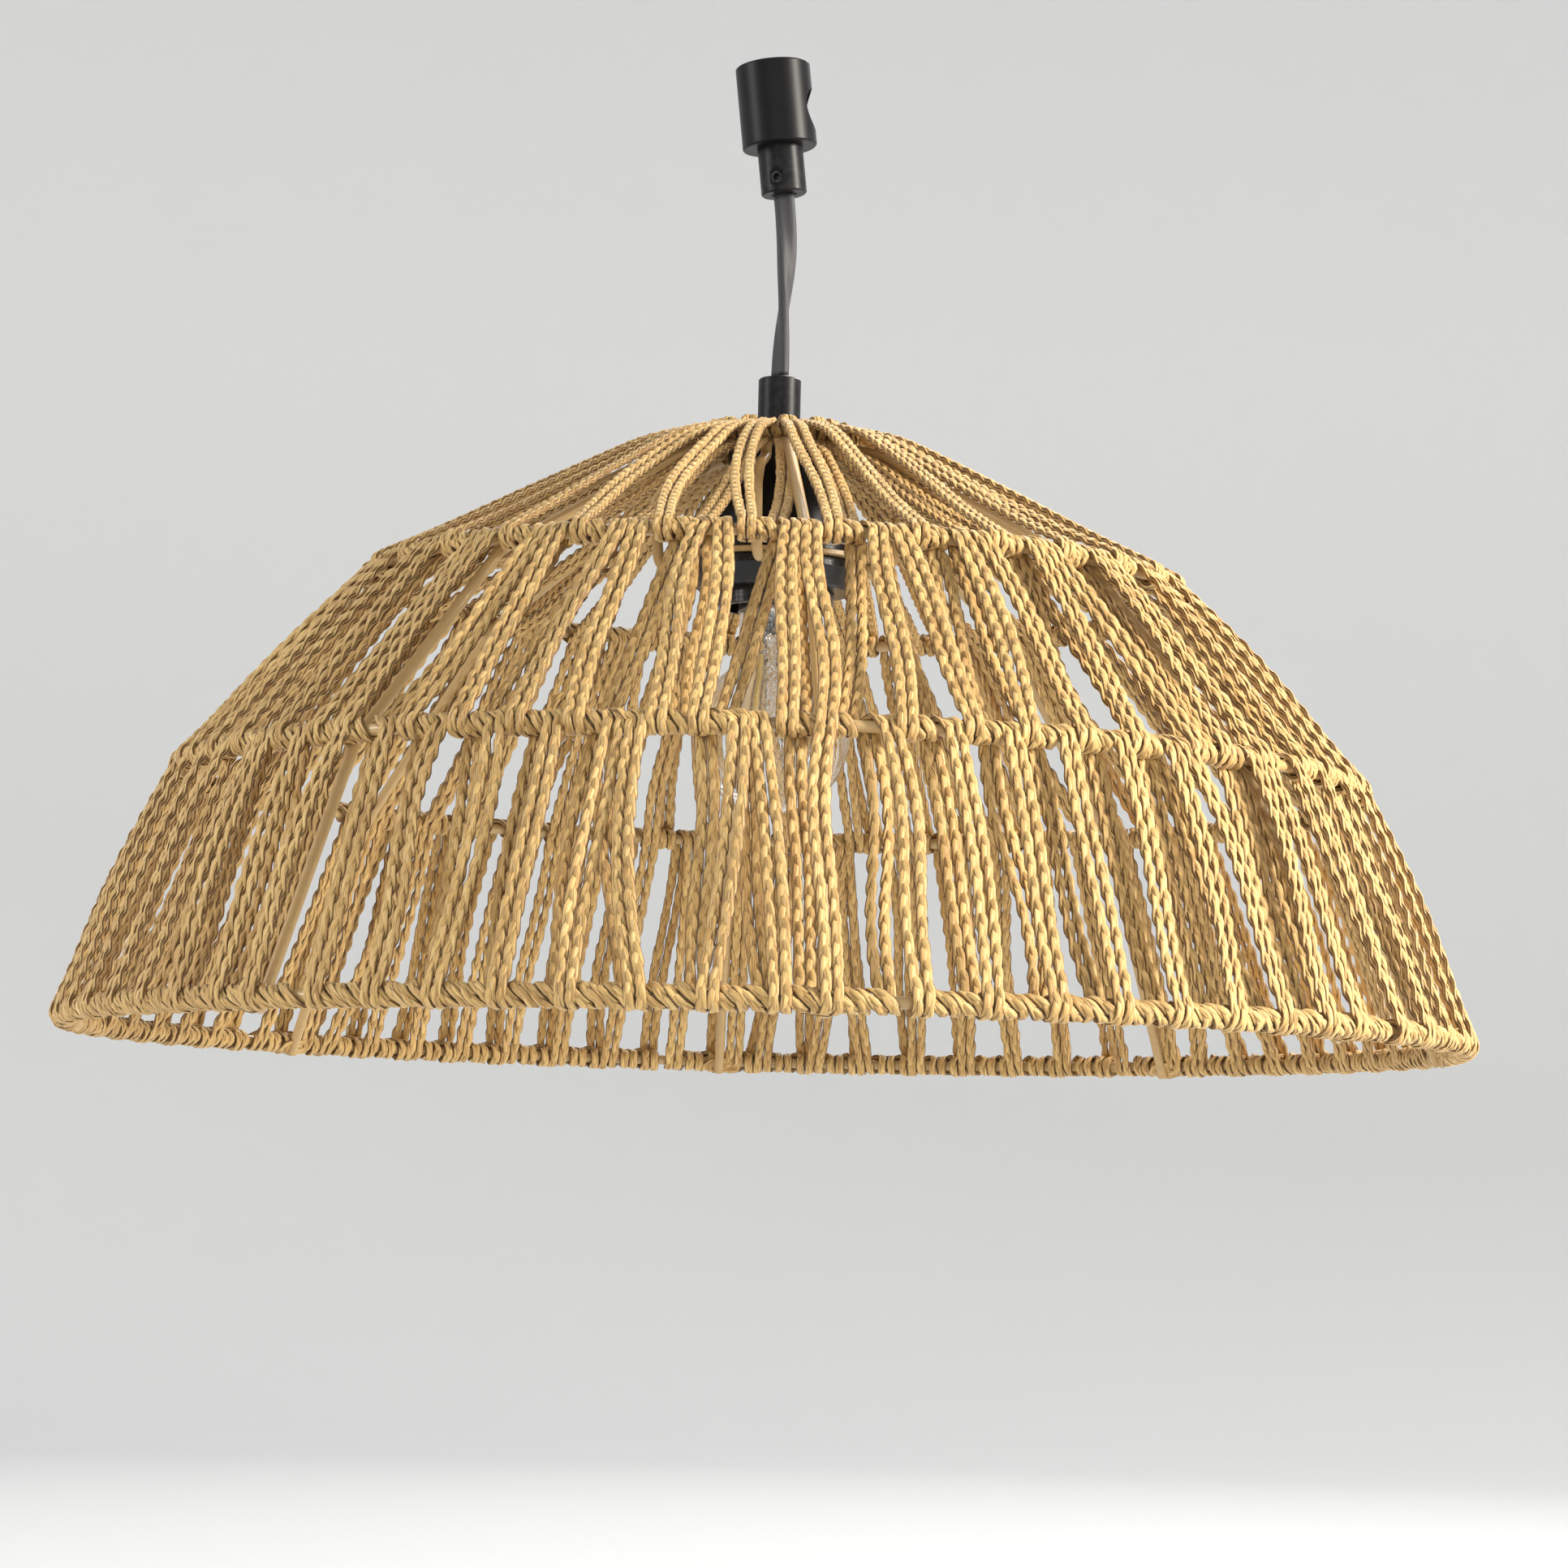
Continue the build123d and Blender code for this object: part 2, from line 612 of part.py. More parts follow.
# The head leans so that its axis comes down to the shade's axis at the coupler's foot.
HEAD_PLANE = Plane(
    origin=(-COUPLER_DROP * lean_sin, 0, 0),
    x_dir=(lean_cos, 0, lean_sin),
    z_dir=(-lean_sin, 0, lean_cos),
)

with BuildPart() as end_cap:
    with BuildSketch(HEAD_PLANE.offset(-CAP_DOWN)):
        Circle(CAP_R)
    extrude(amount=CAP_DOWN + CAP_UP)
    fillet(end_cap.edges().filter_by(GeomType.CIRCLE), 0.8)
    with BuildSketch(HEAD_PLANE.offset(-CAP_DOWN)):
        Circle(SPIGOT_R + 0.05)
    extrude(amount=CAP_DOWN, mode=Mode.SUBTRACT)
    with BuildSketch(Plane.YZ.offset(ARM_BORE_END)):
        Circle(ARM_BORE_R)
    extrude(amount=2 * CAP_R, mode=Mode.SUBTRACT)
end_cap.part.label = "end_cap"
export_step(end_cap.part, "parts/end_cap.step")

# The screw's axis leaves the coupler square to the head's own axis, turned from -Y towards -X.
screw_turn = radians(SCREW_TURN)
screw_centre = HEAD_PLANE.from_local_coords((0, 0, -SCREW_DROP))
screw_axis = HEAD_PLANE.from_local_coords((-sin(screw_turn), -cos(screw_turn), -SCREW_DROP)) - screw_centre
screw_reach = COUPLER_R - SCREW_RECESS


def screw_plane(distance):
    """Plane square to the set screw's axis, at a distance out from the coupler's axis."""
    return Plane(origin=screw_centre + screw_axis * distance, z_dir=screw_axis)


with BuildPart() as coupler:
    with BuildSketch(HEAD_PLANE.offset(-COUPLER_DROP)):
        Circle(COUPLER_R)
    extrude(amount=COUPLER_DROP - CAP_DOWN - 0.05)
    chamfer(coupler.edges().filter_by(GeomType.CIRCLE).group_by(Axis.Z)[0], 0.5)
    with BuildSketch(HEAD_PLANE.offset(-CAP_DOWN - 0.05)):
        Circle(SPIGOT_R)
    extrude(amount=SPIGOT_LENGTH)
    with BuildSketch(HEAD_PLANE.offset(-COUPLER_DROP)):
        SlotOverall(2 * COUPLER_BORE_R, CORD_THICK + 1.0)
    extrude(amount=COUPLER_DROP - CAP_DOWN - 2, mode=Mode.SUBTRACT)
    with BuildSketch(HEAD_PLANE.offset(-CAP_DOWN - 3)):
        Circle(FEED_BORE_R)
    extrude(amount=SPIGOT_LENGTH + 4, mode=Mode.SUBTRACT)
    with BuildSketch(screw_plane(1.0)):
        Circle(SCREW_R + SCREW_CLEARANCE)
    extrude(amount=COUPLER_R + 1, mode=Mode.SUBTRACT)
    with BuildSketch(screw_plane(screw_reach)):
        Circle(SCREW_SEAT_R)
    extrude(amount=2, mode=Mode.SUBTRACT)
coupler.part.label = "coupler"
export_step(coupler.part, "parts/coupler.step")

with BuildPart() as set_screw:
    with BuildSketch(screw_plane(screw_reach - SCREW_LENGTH)):
        Circle(SCREW_R)
    extrude(amount=SCREW_LENGTH)
    chamfer(set_screw.edges().filter_by(GeomType.CIRCLE), SCREW_EDGE)
    with BuildSketch(screw_plane(screw_reach)):
        RegularPolygon(HEX_SIZE / 2, 6, major_radius=False)
    extrude(amount=-HEX_DEPTH, mode=Mode.SUBTRACT)
set_screw.part.label = "set_screw"
export_step(set_screw.part, "parts/set_screw.step")

# ---------------------------------------------------------------- flat cord
cord_radii = corner_radii(CORD_ROUTE, CORD_ARC_SHARE)
print("cord radii mm", [round(radius, 1) for radius in cord_radii])
with BuildPart() as cord:
    with BuildLine() as cord_path:
        FilletPolyline(*CORD_ROUTE, radius=cord_radii)
    cord_start = Plane(origin=cord_path.wire() @ 0, x_dir=(1, 0, 0), z_dir=cord_path.wire() % 0)
    with BuildSketch(cord_start) as section:
        SlotOverall(CORD_WIDTH, CORD_THICK)
    sweep(path=cord_path.wire())
cord_length = cord_path.wire().length
swept_volume = section.sketch.area * cord_length
print("cord length mm", round(cord_length, 2))
print("cord volume over section times length", round(cord.part.volume / swept_volume, 4))
cord.part.label = "cord"
export_step(cord.part, "parts/cord.step")

print("set screw axis", tuple(round(value, 5) for value in screw_axis))
print("set screw point", tuple(round(value, 3) for value in screw_centre + screw_axis * screw_reach))
print("coupler foot z", round(-COUPLER_DROP * lean_cos, 3))
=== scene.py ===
import math

import bpy
import numpy as np
from bpy.props import FloatProperty, FloatVectorProperty, IntProperty, PointerProperty
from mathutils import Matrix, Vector


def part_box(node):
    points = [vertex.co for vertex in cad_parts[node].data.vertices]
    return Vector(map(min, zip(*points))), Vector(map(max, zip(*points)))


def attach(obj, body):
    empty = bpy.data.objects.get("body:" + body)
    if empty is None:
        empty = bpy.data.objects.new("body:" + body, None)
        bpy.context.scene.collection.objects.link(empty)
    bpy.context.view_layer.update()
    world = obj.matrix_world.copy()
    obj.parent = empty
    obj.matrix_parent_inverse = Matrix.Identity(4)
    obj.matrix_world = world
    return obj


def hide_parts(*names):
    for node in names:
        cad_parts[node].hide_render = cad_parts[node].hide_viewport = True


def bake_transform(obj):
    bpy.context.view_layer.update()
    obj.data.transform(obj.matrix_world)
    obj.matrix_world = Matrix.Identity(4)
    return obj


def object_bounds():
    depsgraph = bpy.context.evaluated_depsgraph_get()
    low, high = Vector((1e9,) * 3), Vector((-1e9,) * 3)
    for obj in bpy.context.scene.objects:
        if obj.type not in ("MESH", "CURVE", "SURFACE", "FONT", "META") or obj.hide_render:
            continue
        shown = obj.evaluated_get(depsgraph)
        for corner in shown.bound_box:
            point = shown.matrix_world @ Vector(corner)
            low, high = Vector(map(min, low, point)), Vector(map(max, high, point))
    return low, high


bl_info = {
    "name": "Woven dome lamp shade",
    "version": (1, 0, 0),
    "blender": (4, 5, 0),
    "location": "3D View > Sidebar > Lamp shade",
    "description": "Plaited windings, hanging cord and finishes for a woven dome shade on its wire frame",
    "category": "Add Mesh",
}

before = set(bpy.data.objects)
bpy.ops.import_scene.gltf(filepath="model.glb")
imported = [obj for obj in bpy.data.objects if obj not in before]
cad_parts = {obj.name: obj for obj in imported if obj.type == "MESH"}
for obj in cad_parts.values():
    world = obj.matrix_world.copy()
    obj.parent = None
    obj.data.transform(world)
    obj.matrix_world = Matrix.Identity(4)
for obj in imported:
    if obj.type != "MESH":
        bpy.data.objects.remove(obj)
CAD_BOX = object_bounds()

# The flat cord's line in metres, from the coupler's outlet to the top of the neck sleeve.
CORD_ROUTE = [
    (0.0, 0.0, -0.0339),
    (0.0015, 0.0, -0.0470),
    (0.0013, 0.0, -0.0655),
    (0.00025, 0.0, -0.0835),
    (0.0, 0.0, -0.0998),
]

# Nodes by the finish they wear. The windings and the cord are remade here, so they aren't listed.
FINISHED_NODES = {
    "black_paint": ["end_cap", "coupler", "neck_sleeve", "holder_cap"],
    "black_steel": ["set_screw"],
    "black_plastic": ["holder_body", "retaining_ring", "cord_grip"],
    "lead_sheath": ["holder_leads"],
    "steatite": ["contact_block"],
    "plated_steel": ["terminal_screws", "bulb_leads"],
    "brass": ["screw_shell", "centre_contact"],
    "base_metal": ["bulb_base", "bulb_contact"],
    "base_glass": ["bulb_insulator"],
    "clear_glass": ["bulb_glass"],
    "stem_glass": ["bulb_stem"],
    "filament": ["bulb_filaments"],
    "wire_paint": ["fitter_plate", "spider_arms", "top_ring", "upper_hoop", "middle_hoop", "bottom_hoop"]
    + [f"rib_{number}" for number in range(1, 9)],
}


# ---------------------------------------------------------------- sizes and colours a user may change


class PlaitSettings(bpy.types.PropertyGroup):
    """The plaited cord that the shade is wound with"""

    width: FloatProperty(
        name="Plait width", description="Width of one plait between the hoops", default=0.0037,
        unit="LENGTH",
    )
    crown_width: FloatProperty(
        name="Crown plait width", description="Width of one plait in the top tier", default=0.0034,
        unit="LENGTH",
    )
    thickness: FloatProperty(
        name="Plait thickness", description="Thickness of one plait", default=0.0024, unit="LENGTH"
    )
    crown_thickness: FloatProperty(
        name="Crown thickness", description="Thickness of one plait in the top tier", default=0.0026,
        unit="LENGTH",
    )
    lay: FloatProperty(
        name="Lay", description="Length in which a strand returns to its place", default=0.0230,
        unit="LENGTH",
    )
    crown_lay: FloatProperty(
        name="Crown lay", description="The same length in the tighter top tier", default=0.0142, unit="LENGTH"
    )
    crown_pairs: IntProperty(name="Crown pairs", description="Pairs in the top tier", default=32)
    middle_pairs: IntProperty(name="Middle pairs", description="Pairs in the middle tier", default=64)
    lower_pairs: IntProperty(name="Lower pairs", description="Pairs in the bottom tier", default=72)
    straw: FloatVectorProperty(
        name="Straw", description="Pale side of the straw", default=(0.78, 0.52, 0.19), subtype="COLOR"
    )
    tan: FloatVectorProperty(
        name="Tan", description="Darker side of the straw", default=(0.43, 0.235, 0.070), subtype="COLOR"
    )
    # Painted shade: this dark straw is laid on strand surface deep in the plait and on the strands' side
    # edges.
    groove_shade: FloatVectorProperty(
        name="Groove", description="Straw deep between strands", default=(0.095, 0.042, 0.012),
        subtype="COLOR",
    )


class FlexSettings(bpy.types.PropertyGroup):
    """The flat cord that carries the shade"""

    width: FloatProperty(name="Cord width", description="Over both cores", default=0.0076, unit="LENGTH")
    thickness: FloatProperty(
        name="Cord thickness", description="Over one core", default=0.0040, unit="LENGTH"
    )
    tucked: FloatProperty(
        name="Tucked in", description="Length above the cord outlet", default=0.0024, unit="LENGTH"
    )
    twist: FloatProperty(
        name="Twist", description="Turn between its two ends", default=math.radians(132), unit="ROTATION"
    )
    colour: FloatVectorProperty(
        name="Sheath", description="Colour of the sheath", default=(0.022, 0.022, 0.025), subtype="COLOR"
    )


class FinishSettings(bpy.types.PropertyGroup):
    """Colours of the metal, plastic and glass pieces"""

    black: FloatVectorProperty(
        name="Black", description="Powder coat on head and sleeve", default=(0.008, 0.008, 0.009),
        subtype="COLOR",
    )
    moulded: FloatVectorProperty(
        name="Moulded black", description="Lampholder shell and ring", default=(0.006, 0.0065, 0.008),
        subtype="COLOR",
    )
    wire: FloatVectorProperty(
        name="Wire paint", description="Paint of the wire frame", default=(0.56, 0.385, 0.17), subtype="COLOR"
    )
    brass: FloatVectorProperty(
        name="Brass", description="Pressed brass contacts", default=(0.72, 0.50, 0.20), subtype="COLOR"
    )


class StudioSettings(bpy.types.PropertyGroup):
    """Camera, floor and lights"""

    camera_place: FloatVectorProperty(
        name="Camera place", description="Where the camera stands", default=(0.005, -1.600, -0.4138),
        subtype="TRANSLATION",
    )
    camera_pitch: FloatProperty(
        name="Camera pitch", description="Above the horizon", default=math.radians(5.83), unit="ROTATION"
    )
    camera_roll: FloatProperty(
        name="Camera roll", description="Tilt of the picture", default=math.radians(1.35), unit="ROTATION"
    )
    focal_length: FloatProperty(name="Focal length", description="In millimetres", default=101.6)
    floor_drop: FloatProperty(
        name="Floor drop", description="From the shade's mouth to the floor", default=0.26, unit="LENGTH"
    )
    backdrop: FloatVectorProperty(
        name="Backdrop", description="Paper on floor and wall", default=(0.69, 0.705, 0.725), subtype="COLOR"
    )


# The studio's lights: where each stands, its power in watts, the width of its face and its tint.
LIGHTS = {
    "key_light": ((2.2, -0.7, 0.6), 116.0, 0.6, (1.0, 0.94, 0.84)),
    "front_light": ((-0.3, -2.7, -0.1), 8.0, 1.3, (1.0, 0.98, 0.95)),
    "left_light": ((-1.9, -0.6, 0.5), 17.0, 0.7, (1.0, 0.99, 0.97)),
    "back_light": ((0.5, 1.7, 1.2), 24.0, 1.0, (1.0, 0.97, 0.93)),
}
LIT_POINT = (0, 0, -0.22)
AIR_COLOUR = (0.93, 0.96, 1.0, 1.0)
AIR_STRENGTH = 0.33

# The paper lies flat this far out, bends up by this radius and ends at this radius and height.
PAPER_FLAT = 2.2
PAPER_BEND = 1.2
PAPER_BEND_ANGLES = np.linspace(0.15, 1.55, 12)
PAPER_END = (3.45, 4.5)
PAPER_SIDES = 64

SETTINGS = {
    "shade_plait": PlaitSettings,
    "shade_flex": FlexSettings,
    "shade_finish": FinishSettings,
    "shade_studio": StudioSettings,
}


# ---------------------------------------------------------------- small helpers


def link(obj):
    bpy.context.scene.collection.objects.link(obj)
    return obj


def add(tree, kind, sockets=None, **settings):
    """One shader node: settings are its own, sockets are values or other nodes' outputs."""
    made = tree.nodes.new(kind)
    for name, value in settings.items():
        setattr(made, name, value)
    for name, value in (sockets or {}).items():
        if isinstance(value, bpy.types.NodeSocket):
            tree.links.new(value, made.inputs[name])
        else:
            made.inputs[name].default_value = value
    return made


def maths(tree, operation, first, second=0.0, clamp=False):
    return add(tree, "ShaderNodeMath", {0: first, 1: second}, operation=operation, use_clamp=clamp).outputs[0]


def rescale(tree, value, low, high, to_low, to_high):
    sockets = {"Value": value, "From Min": low, "From Max": high, "To Min": to_low, "To Max": to_high}
    return add(tree, "ShaderNodeMapRange", sockets).outputs["Result"]


def mix(tree, share, first, second):
    made = tree.nodes.new("ShaderNodeMix")
    made.data_type = "RGBA"
    for socket, value in ((made.inputs[0], share), (made.inputs[6], first), (made.inputs[7], second)):
        if isinstance(value, bpy.types.NodeSocket):
            tree.links.new(value, socket)
        else:
            socket.default_value = value if isinstance(value, float) else (*value[:3], 1.0)
    return made.outputs[2]


def material(name):
    """An empty material with a Principled shader. Returns the material, its tree and the shader."""
    made = bpy.data.materials.new(name)
    made.use_nodes = True
    return made, made.node_tree, made.node_tree.nodes["Principled BSDF"]


def colour(value):
    return (*value[:3], 1.0)


def feed(tree, shader, sockets):
    for name, value in sockets.items():
        if isinstance(value, bpy.types.NodeSocket):
            tree.links.new(value, shader.inputs[name])
        else:
            shader.inputs[name].default_value = value


def new_group(name, inputs, outputs):
    """A shader node group with float or colour sockets, and its two end nodes."""
    group = bpy.data.node_groups.new(name, "ShaderNodeTree")
    kinds = {float: "NodeSocketFloat", tuple: "NodeSocketColor"}
    for socket, default in inputs.items():
        made = group.interface.new_socket(socket, in_out="INPUT", socket_type=kinds[type(default)])
        made.default_value = default
    for socket, kind in outputs.items():
        group.interface.new_socket(socket, in_out="OUTPUT", socket_type=kind)
    return group, group.nodes.new("NodeGroupInput"), group.nodes.new("NodeGroupOutput")


def place_group(tree, name, **sockets):
    made = tree.nodes.new("ShaderNodeGroup")
    made.node_tree = bpy.data.node_groups[name]
    for socket, value in sockets.items():
        made.inputs[socket.replace("_", " ").capitalize()].default_value = value
    return made


def surface_place(tree):
    """The point's own place on its piece, which moves with the piece."""
    return add(tree, "ShaderNodeTexCoord").outputs["Object"]


# ---------------------------------------------------------------- shared effects


def make_grain_group():
    """Fine orange peel of a sprayed or moulded skin, with slow patches of gloss."""
    group, given, made = new_group(
        "moulded_grain",
        {"Grain size": 0.0006, "Roughness": 0.4, "Patchiness": 0.06},
        {"Height": "NodeSocketFloat", "Roughness": "NodeSocketFloat"},
    )
    place = surface_place(group)
    fineness = maths(group, "DIVIDE", 1.0, given.outputs["Grain size"])
    grain = add(group, "ShaderNodeTexNoise", {"Vector": place, "Scale": fineness, "Detail": 3.0})
    patches = add(group, "ShaderNodeTexNoise", {"Vector": place, "Scale": 60.0, "Detail": 4.0})
    swing = maths(group, "MULTIPLY", maths(group, "SUBTRACT", patches.outputs["Fac"], 0.5),
                  given.outputs["Patchiness"])
    speck = maths(group, "MULTIPLY", maths(group, "SUBTRACT", grain.outputs["Fac"], 0.5), 0.08)
    rough = maths(group, "ADD", maths(group, "ADD", given.outputs["Roughness"], swing), speck, clamp=True)
    group.links.new(grain.outputs["Fac"], made.inputs["Height"])
    group.links.new(rough, made.inputs["Roughness"])


def make_turned_group():
    """Fine rings round an upright axis, as a lathe or a worn mould leaves them."""
    group, given, made = new_group(
        "turned_rings",
        {"Ring pitch": 0.0008, "Roughness": 0.3, "Depth": 0.15},
        {"Height": "NodeSocketFloat", "Roughness": "NodeSocketFloat"},
    )
    place = surface_place(group)
    parts = add(group, "ShaderNodeSeparateXYZ", {"Vector": place})
    flat = add(group, "ShaderNodeCombineXYZ", {"X": 0.0, "Y": 0.0, "Z": parts.outputs["Z"]})
    fineness = maths(group, "DIVIDE", 1.0, given.outputs["Ring pitch"])
    rings = add(group, "ShaderNodeTexNoise",
                {"Vector": flat.outputs[0], "Scale": fineness, "Detail": 3.0, "Roughness": 0.65})
    wear = add(group, "ShaderNodeTexNoise", {"Vector": place, "Scale": 90.0, "Detail": 5.0})
    swing = maths(group, "MULTIPLY", maths(group, "SUBTRACT", rings.outputs["Fac"], 0.5),
                  given.outputs["Depth"])
    worn = maths(group, "MULTIPLY", maths(group, "SUBTRACT", wear.outputs["Fac"], 0.5), 0.12)
    rough = maths(group, "ADD", maths(group, "ADD", given.outputs["Roughness"], swing), worn, clamp=True)
    group.links.new(rings.outputs["Fac"], made.inputs["Height"])
    group.links.new(rough, made.inputs["Roughness"])


def make_wear_group():
    """Paint rubbed thin along sharp edges, and a little dust on faces that look up."""
    group, given, made = new_group(
        "edge_wear",
        {"Paint": (0.02, 0.02, 0.02, 1.0), "Bare": (0.2, 0.2, 0.2, 1.0), "Wear": 0.5, "Dust": 0.1},
        {"Color": "NodeSocketColor"},
    )
    shape = add(group, "ShaderNodeNewGeometry")
    edge = rescale(group, shape.outputs["Pointiness"], 0.53, 0.60, 0.0, 1.0)
    patches = add(group, "ShaderNodeTexNoise",
                  {"Vector": surface_place(group), "Scale": 400.0, "Detail": 5.0})
    broken = rescale(group, patches.outputs["Fac"], 0.42, 0.62, 0.0, 1.0)
    rubbed = maths(group, "MULTIPLY", maths(group, "MULTIPLY", edge, broken),
                   given.outputs["Wear"], clamp=True)
    worn = mix(group, rubbed, given.outputs["Paint"], given.outputs["Bare"])
    upward = add(group, "ShaderNodeSeparateXYZ", {"Vector": shape.outputs["Normal"]}).outputs["Z"]
    lying = rescale(group, upward, 0.6, 1.0, 0.0, 1.0)
    settled = maths(group, "MULTIPLY", maths(group, "MULTIPLY", lying, given.outputs["Dust"]),
                    patches.outputs["Fac"], clamp=True)
    dusty = mix(group, settled, worn, (0.42, 0.40, 0.37))
    group.links.new(dusty, made.inputs["Color"])


# ---------------------------------------------------------------- finishes


def bump(tree, height, strength, distance, normal=None):
    sockets = {"Height": height, "Strength": strength, "Distance": distance}
    if normal is not None:
        sockets["Normal"] = normal
    return add(tree, "ShaderNodeBump", sockets).outputs["Normal"]


def black_paint(finish):
    """Satin powder coat over turned metal."""
    made, tree, shader = material("black_paint")
    skin = place_group(tree, "moulded_grain", grain_size=0.00045, roughness=0.36, patchiness=0.03)
    paint = place_group(tree, "edge_wear", paint=colour(finish.black), bare=(0.05, 0.05, 0.052, 1), wear=0.3,
                        dust=0.02)
    feed(tree, shader, {
        "Base Color": paint.outputs["Color"],
        "Roughness": skin.outputs["Roughness"],
        "Normal": bump(tree, skin.outputs["Height"], 0.10, 0.0002),
        "Specular IOR Level": 0.14,
    })
    return made


def black_steel(finish):
    """Black oxide on a small hardened screw, oily and bright on its edges."""
    made, tree, shader = material("black_steel")
    skin = place_group(tree, "moulded_grain", grain_size=0.0003, roughness=0.20, patchiness=0.15)
    paint = place_group(tree, "edge_wear", paint=(0.03, 0.03, 0.031, 1), bare=(0.35, 0.35, 0.36, 1), wear=0.9,
                        dust=0.0)
    feed(tree, shader, {
        "Base Color": paint.outputs["Color"],
        "Metallic": 0.75,
        "Roughness": skin.outputs["Roughness"],
        "Normal": bump(tree, skin.outputs["Height"], 0.15, 0.0001),
    })
    return made


def black_plastic(finish):
    """Half-gloss moulded black with fine rings that catch the light in level streaks."""
    made, tree, shader = material("black_plastic")
    rings = place_group(tree, "turned_rings", ring_pitch=0.0011, roughness=0.20, depth=0.34)
    paint = place_group(tree, "edge_wear", paint=colour(finish.moulded), bare=(0.05, 0.05, 0.052, 1),
                        wear=0.4, dust=0.08)
    feed(tree, shader, {
        "Base Color": paint.outputs["Color"],
        "Roughness": rings.outputs["Roughness"],
        "Normal": bump(tree, rings.outputs["Height"], 0.22, 0.0004),
        "Specular IOR Level": 0.3,
        "Coat Weight": 0.15,
        "Coat Roughness": 0.10,
    })
    return made


def cord_sheath(flex):
    """Soft matt sheath of the flat cord, with faint drawn lines along it."""
    made, tree, shader = material("cord_sheath")
    along = add(tree, "ShaderNodeAttribute", attribute_name="fibre")
    drawn = add(tree, "ShaderNodeMapping",
                {"Vector": along.outputs["Vector"], "Scale": (60.0, 2600.0, 2600.0)})
    lines = add(tree, "ShaderNodeTexNoise", {"Vector": drawn.outputs[0], "Scale": 1.0, "Detail": 4.0})
    skin = place_group(tree, "moulded_grain", grain_size=0.0003, roughness=0.62, patchiness=0.12)
    shade = rescale(tree, lines.outputs["Fac"], 0.3, 0.7, 0.0, 1.0)
    lighter = [channel * 1.7 for channel in flex.colour]
    feed(tree, shader, {
        "Base Color": mix(tree, shade, flex.colour, lighter),
        "Roughness": skin.outputs["Roughness"],
        "Normal": bump(tree, lines.outputs["Fac"], 0.25, 0.0002,
                       bump(tree, skin.outputs["Height"], 0.2, 0.0001)),
        "Sheen Weight": 0.15,
        "Sheen Roughness": 0.5,
    })
    return made


def lead_sheath(finish):
    """Brown and blue core insulation, told apart by side."""
    made, tree, shader = material("lead_sheath")
    parts = add(tree, "ShaderNodeSeparateXYZ", {"Vector": surface_place(tree)})
    side = rescale(tree, parts.outputs["X"], -0.0002, 0.0002, 0.0, 1.0)
    skin = place_group(tree, "moulded_grain", grain_size=0.0005, roughness=0.42, patchiness=0.1)
    feed(tree, shader, {
        "Base Color": mix(tree, side, (0.16, 0.060, 0.022), (0.02, 0.09, 0.30)),
        "Roughness": skin.outputs["Roughness"],
        "Normal": bump(tree, skin.outputs["Height"], 0.15, 0.0001),
    })
    return made


def steatite(finish):
    """Unglazed ceramic with iron specks."""
    made, tree, shader = material("steatite")
    specks = add(tree, "ShaderNodeTexVoronoi", {"Vector": surface_place(tree), "Scale": 900.0})
    dots = rescale(tree, specks.outputs["Distance"], 0.05, 0.16, 1.0, 0.0)
    skin = place_group(tree, "moulded_grain", grain_size=0.0007, roughness=0.72, patchiness=0.15)
    feed(tree, shader, {
        "Base Color": mix(tree, dots, (0.76, 0.73, 0.66), (0.45, 0.38, 0.29)),
        "Roughness": skin.outputs["Roughness"],
        "Normal": bump(tree, skin.outputs["Height"], 0.35, 0.0003),
    })
    return made


def turned_metal(name, bright, dull, pitch, rough):
    """A bright metal with drawn or rolled rings and slightly dull patches."""
    made, tree, shader = material(name)
    rings = place_group(tree, "turned_rings", ring_pitch=pitch, roughness=rough, depth=0.22)
    cloud = add(tree, "ShaderNodeTexNoise", {"Vector": surface_place(tree), "Scale": 220.0, "Detail": 5.0})
    patches = rescale(tree, cloud.outputs["Fac"], 0.42, 0.68, 0.0, 1.0)
    feed(tree, shader, {
        "Base Color": mix(tree, patches, bright, dull),
        "Metallic": 1.0,
        "Roughness": rings.outputs["Roughness"],
        "Normal": bump(tree, rings.outputs["Height"], 0.18, 0.0003),
    })
    return made


def plated_steel(finish):
    return turned_metal("plated_steel", (0.66, 0.66, 0.65), (0.42, 0.42, 0.42), 0.0004, 0.24)


def brass(finish):
    dull = [channel * 0.62 for channel in finish.brass]
    return turned_metal("brass", finish.brass, dull, 0.0007, 0.26)


def base_metal(finish):
    return turned_metal("base_metal", (0.83, 0.84, 0.86), (0.60, 0.61, 0.63), 0.0006, 0.25)


def base_glass(finish):
    """Black fused glass at the tip of the bulb's base."""
    made, tree, shader = material("base_glass")
    skin = place_group(tree, "moulded_grain", grain_size=0.0018, roughness=0.12, patchiness=0.1)
    paint = place_group(tree, "edge_wear", paint=(0.02, 0.016, 0.022, 1), bare=(0.06, 0.05, 0.06, 1),
                        wear=0.3, dust=0.02)
    feed(tree, shader, {
        "Base Color": paint.outputs["Color"],
        "Roughness": skin.outputs["Roughness"],
        "Normal": bump(tree, skin.outputs["Height"], 0.4, 0.0006),
    })
    return made


def blown_glass(name, wave, strength, distance):
    """Clear glass whose surface runs in slow waves, as blown and pressed glass does."""
    made, tree, shader = material(name)
    stretch = add(tree, "ShaderNodeMapping", {"Vector": surface_place(tree), "Scale": (1.0, 1.0, 0.35)})
    waves = add(tree, "ShaderNodeTexNoise",
                {"Vector": stretch.outputs[0], "Scale": 1.0 / wave, "Detail": 1.0, "Distortion": 0.6})
    feed(tree, shader, {
        "Base Color": (0.985, 0.995, 1.0, 1.0),
        "Roughness": 0.0,
        "IOR": 1.47,
        "Transmission Weight": 1.0,
        "Normal": bump(tree, waves.outputs["Fac"], strength, distance),
    })
    return made


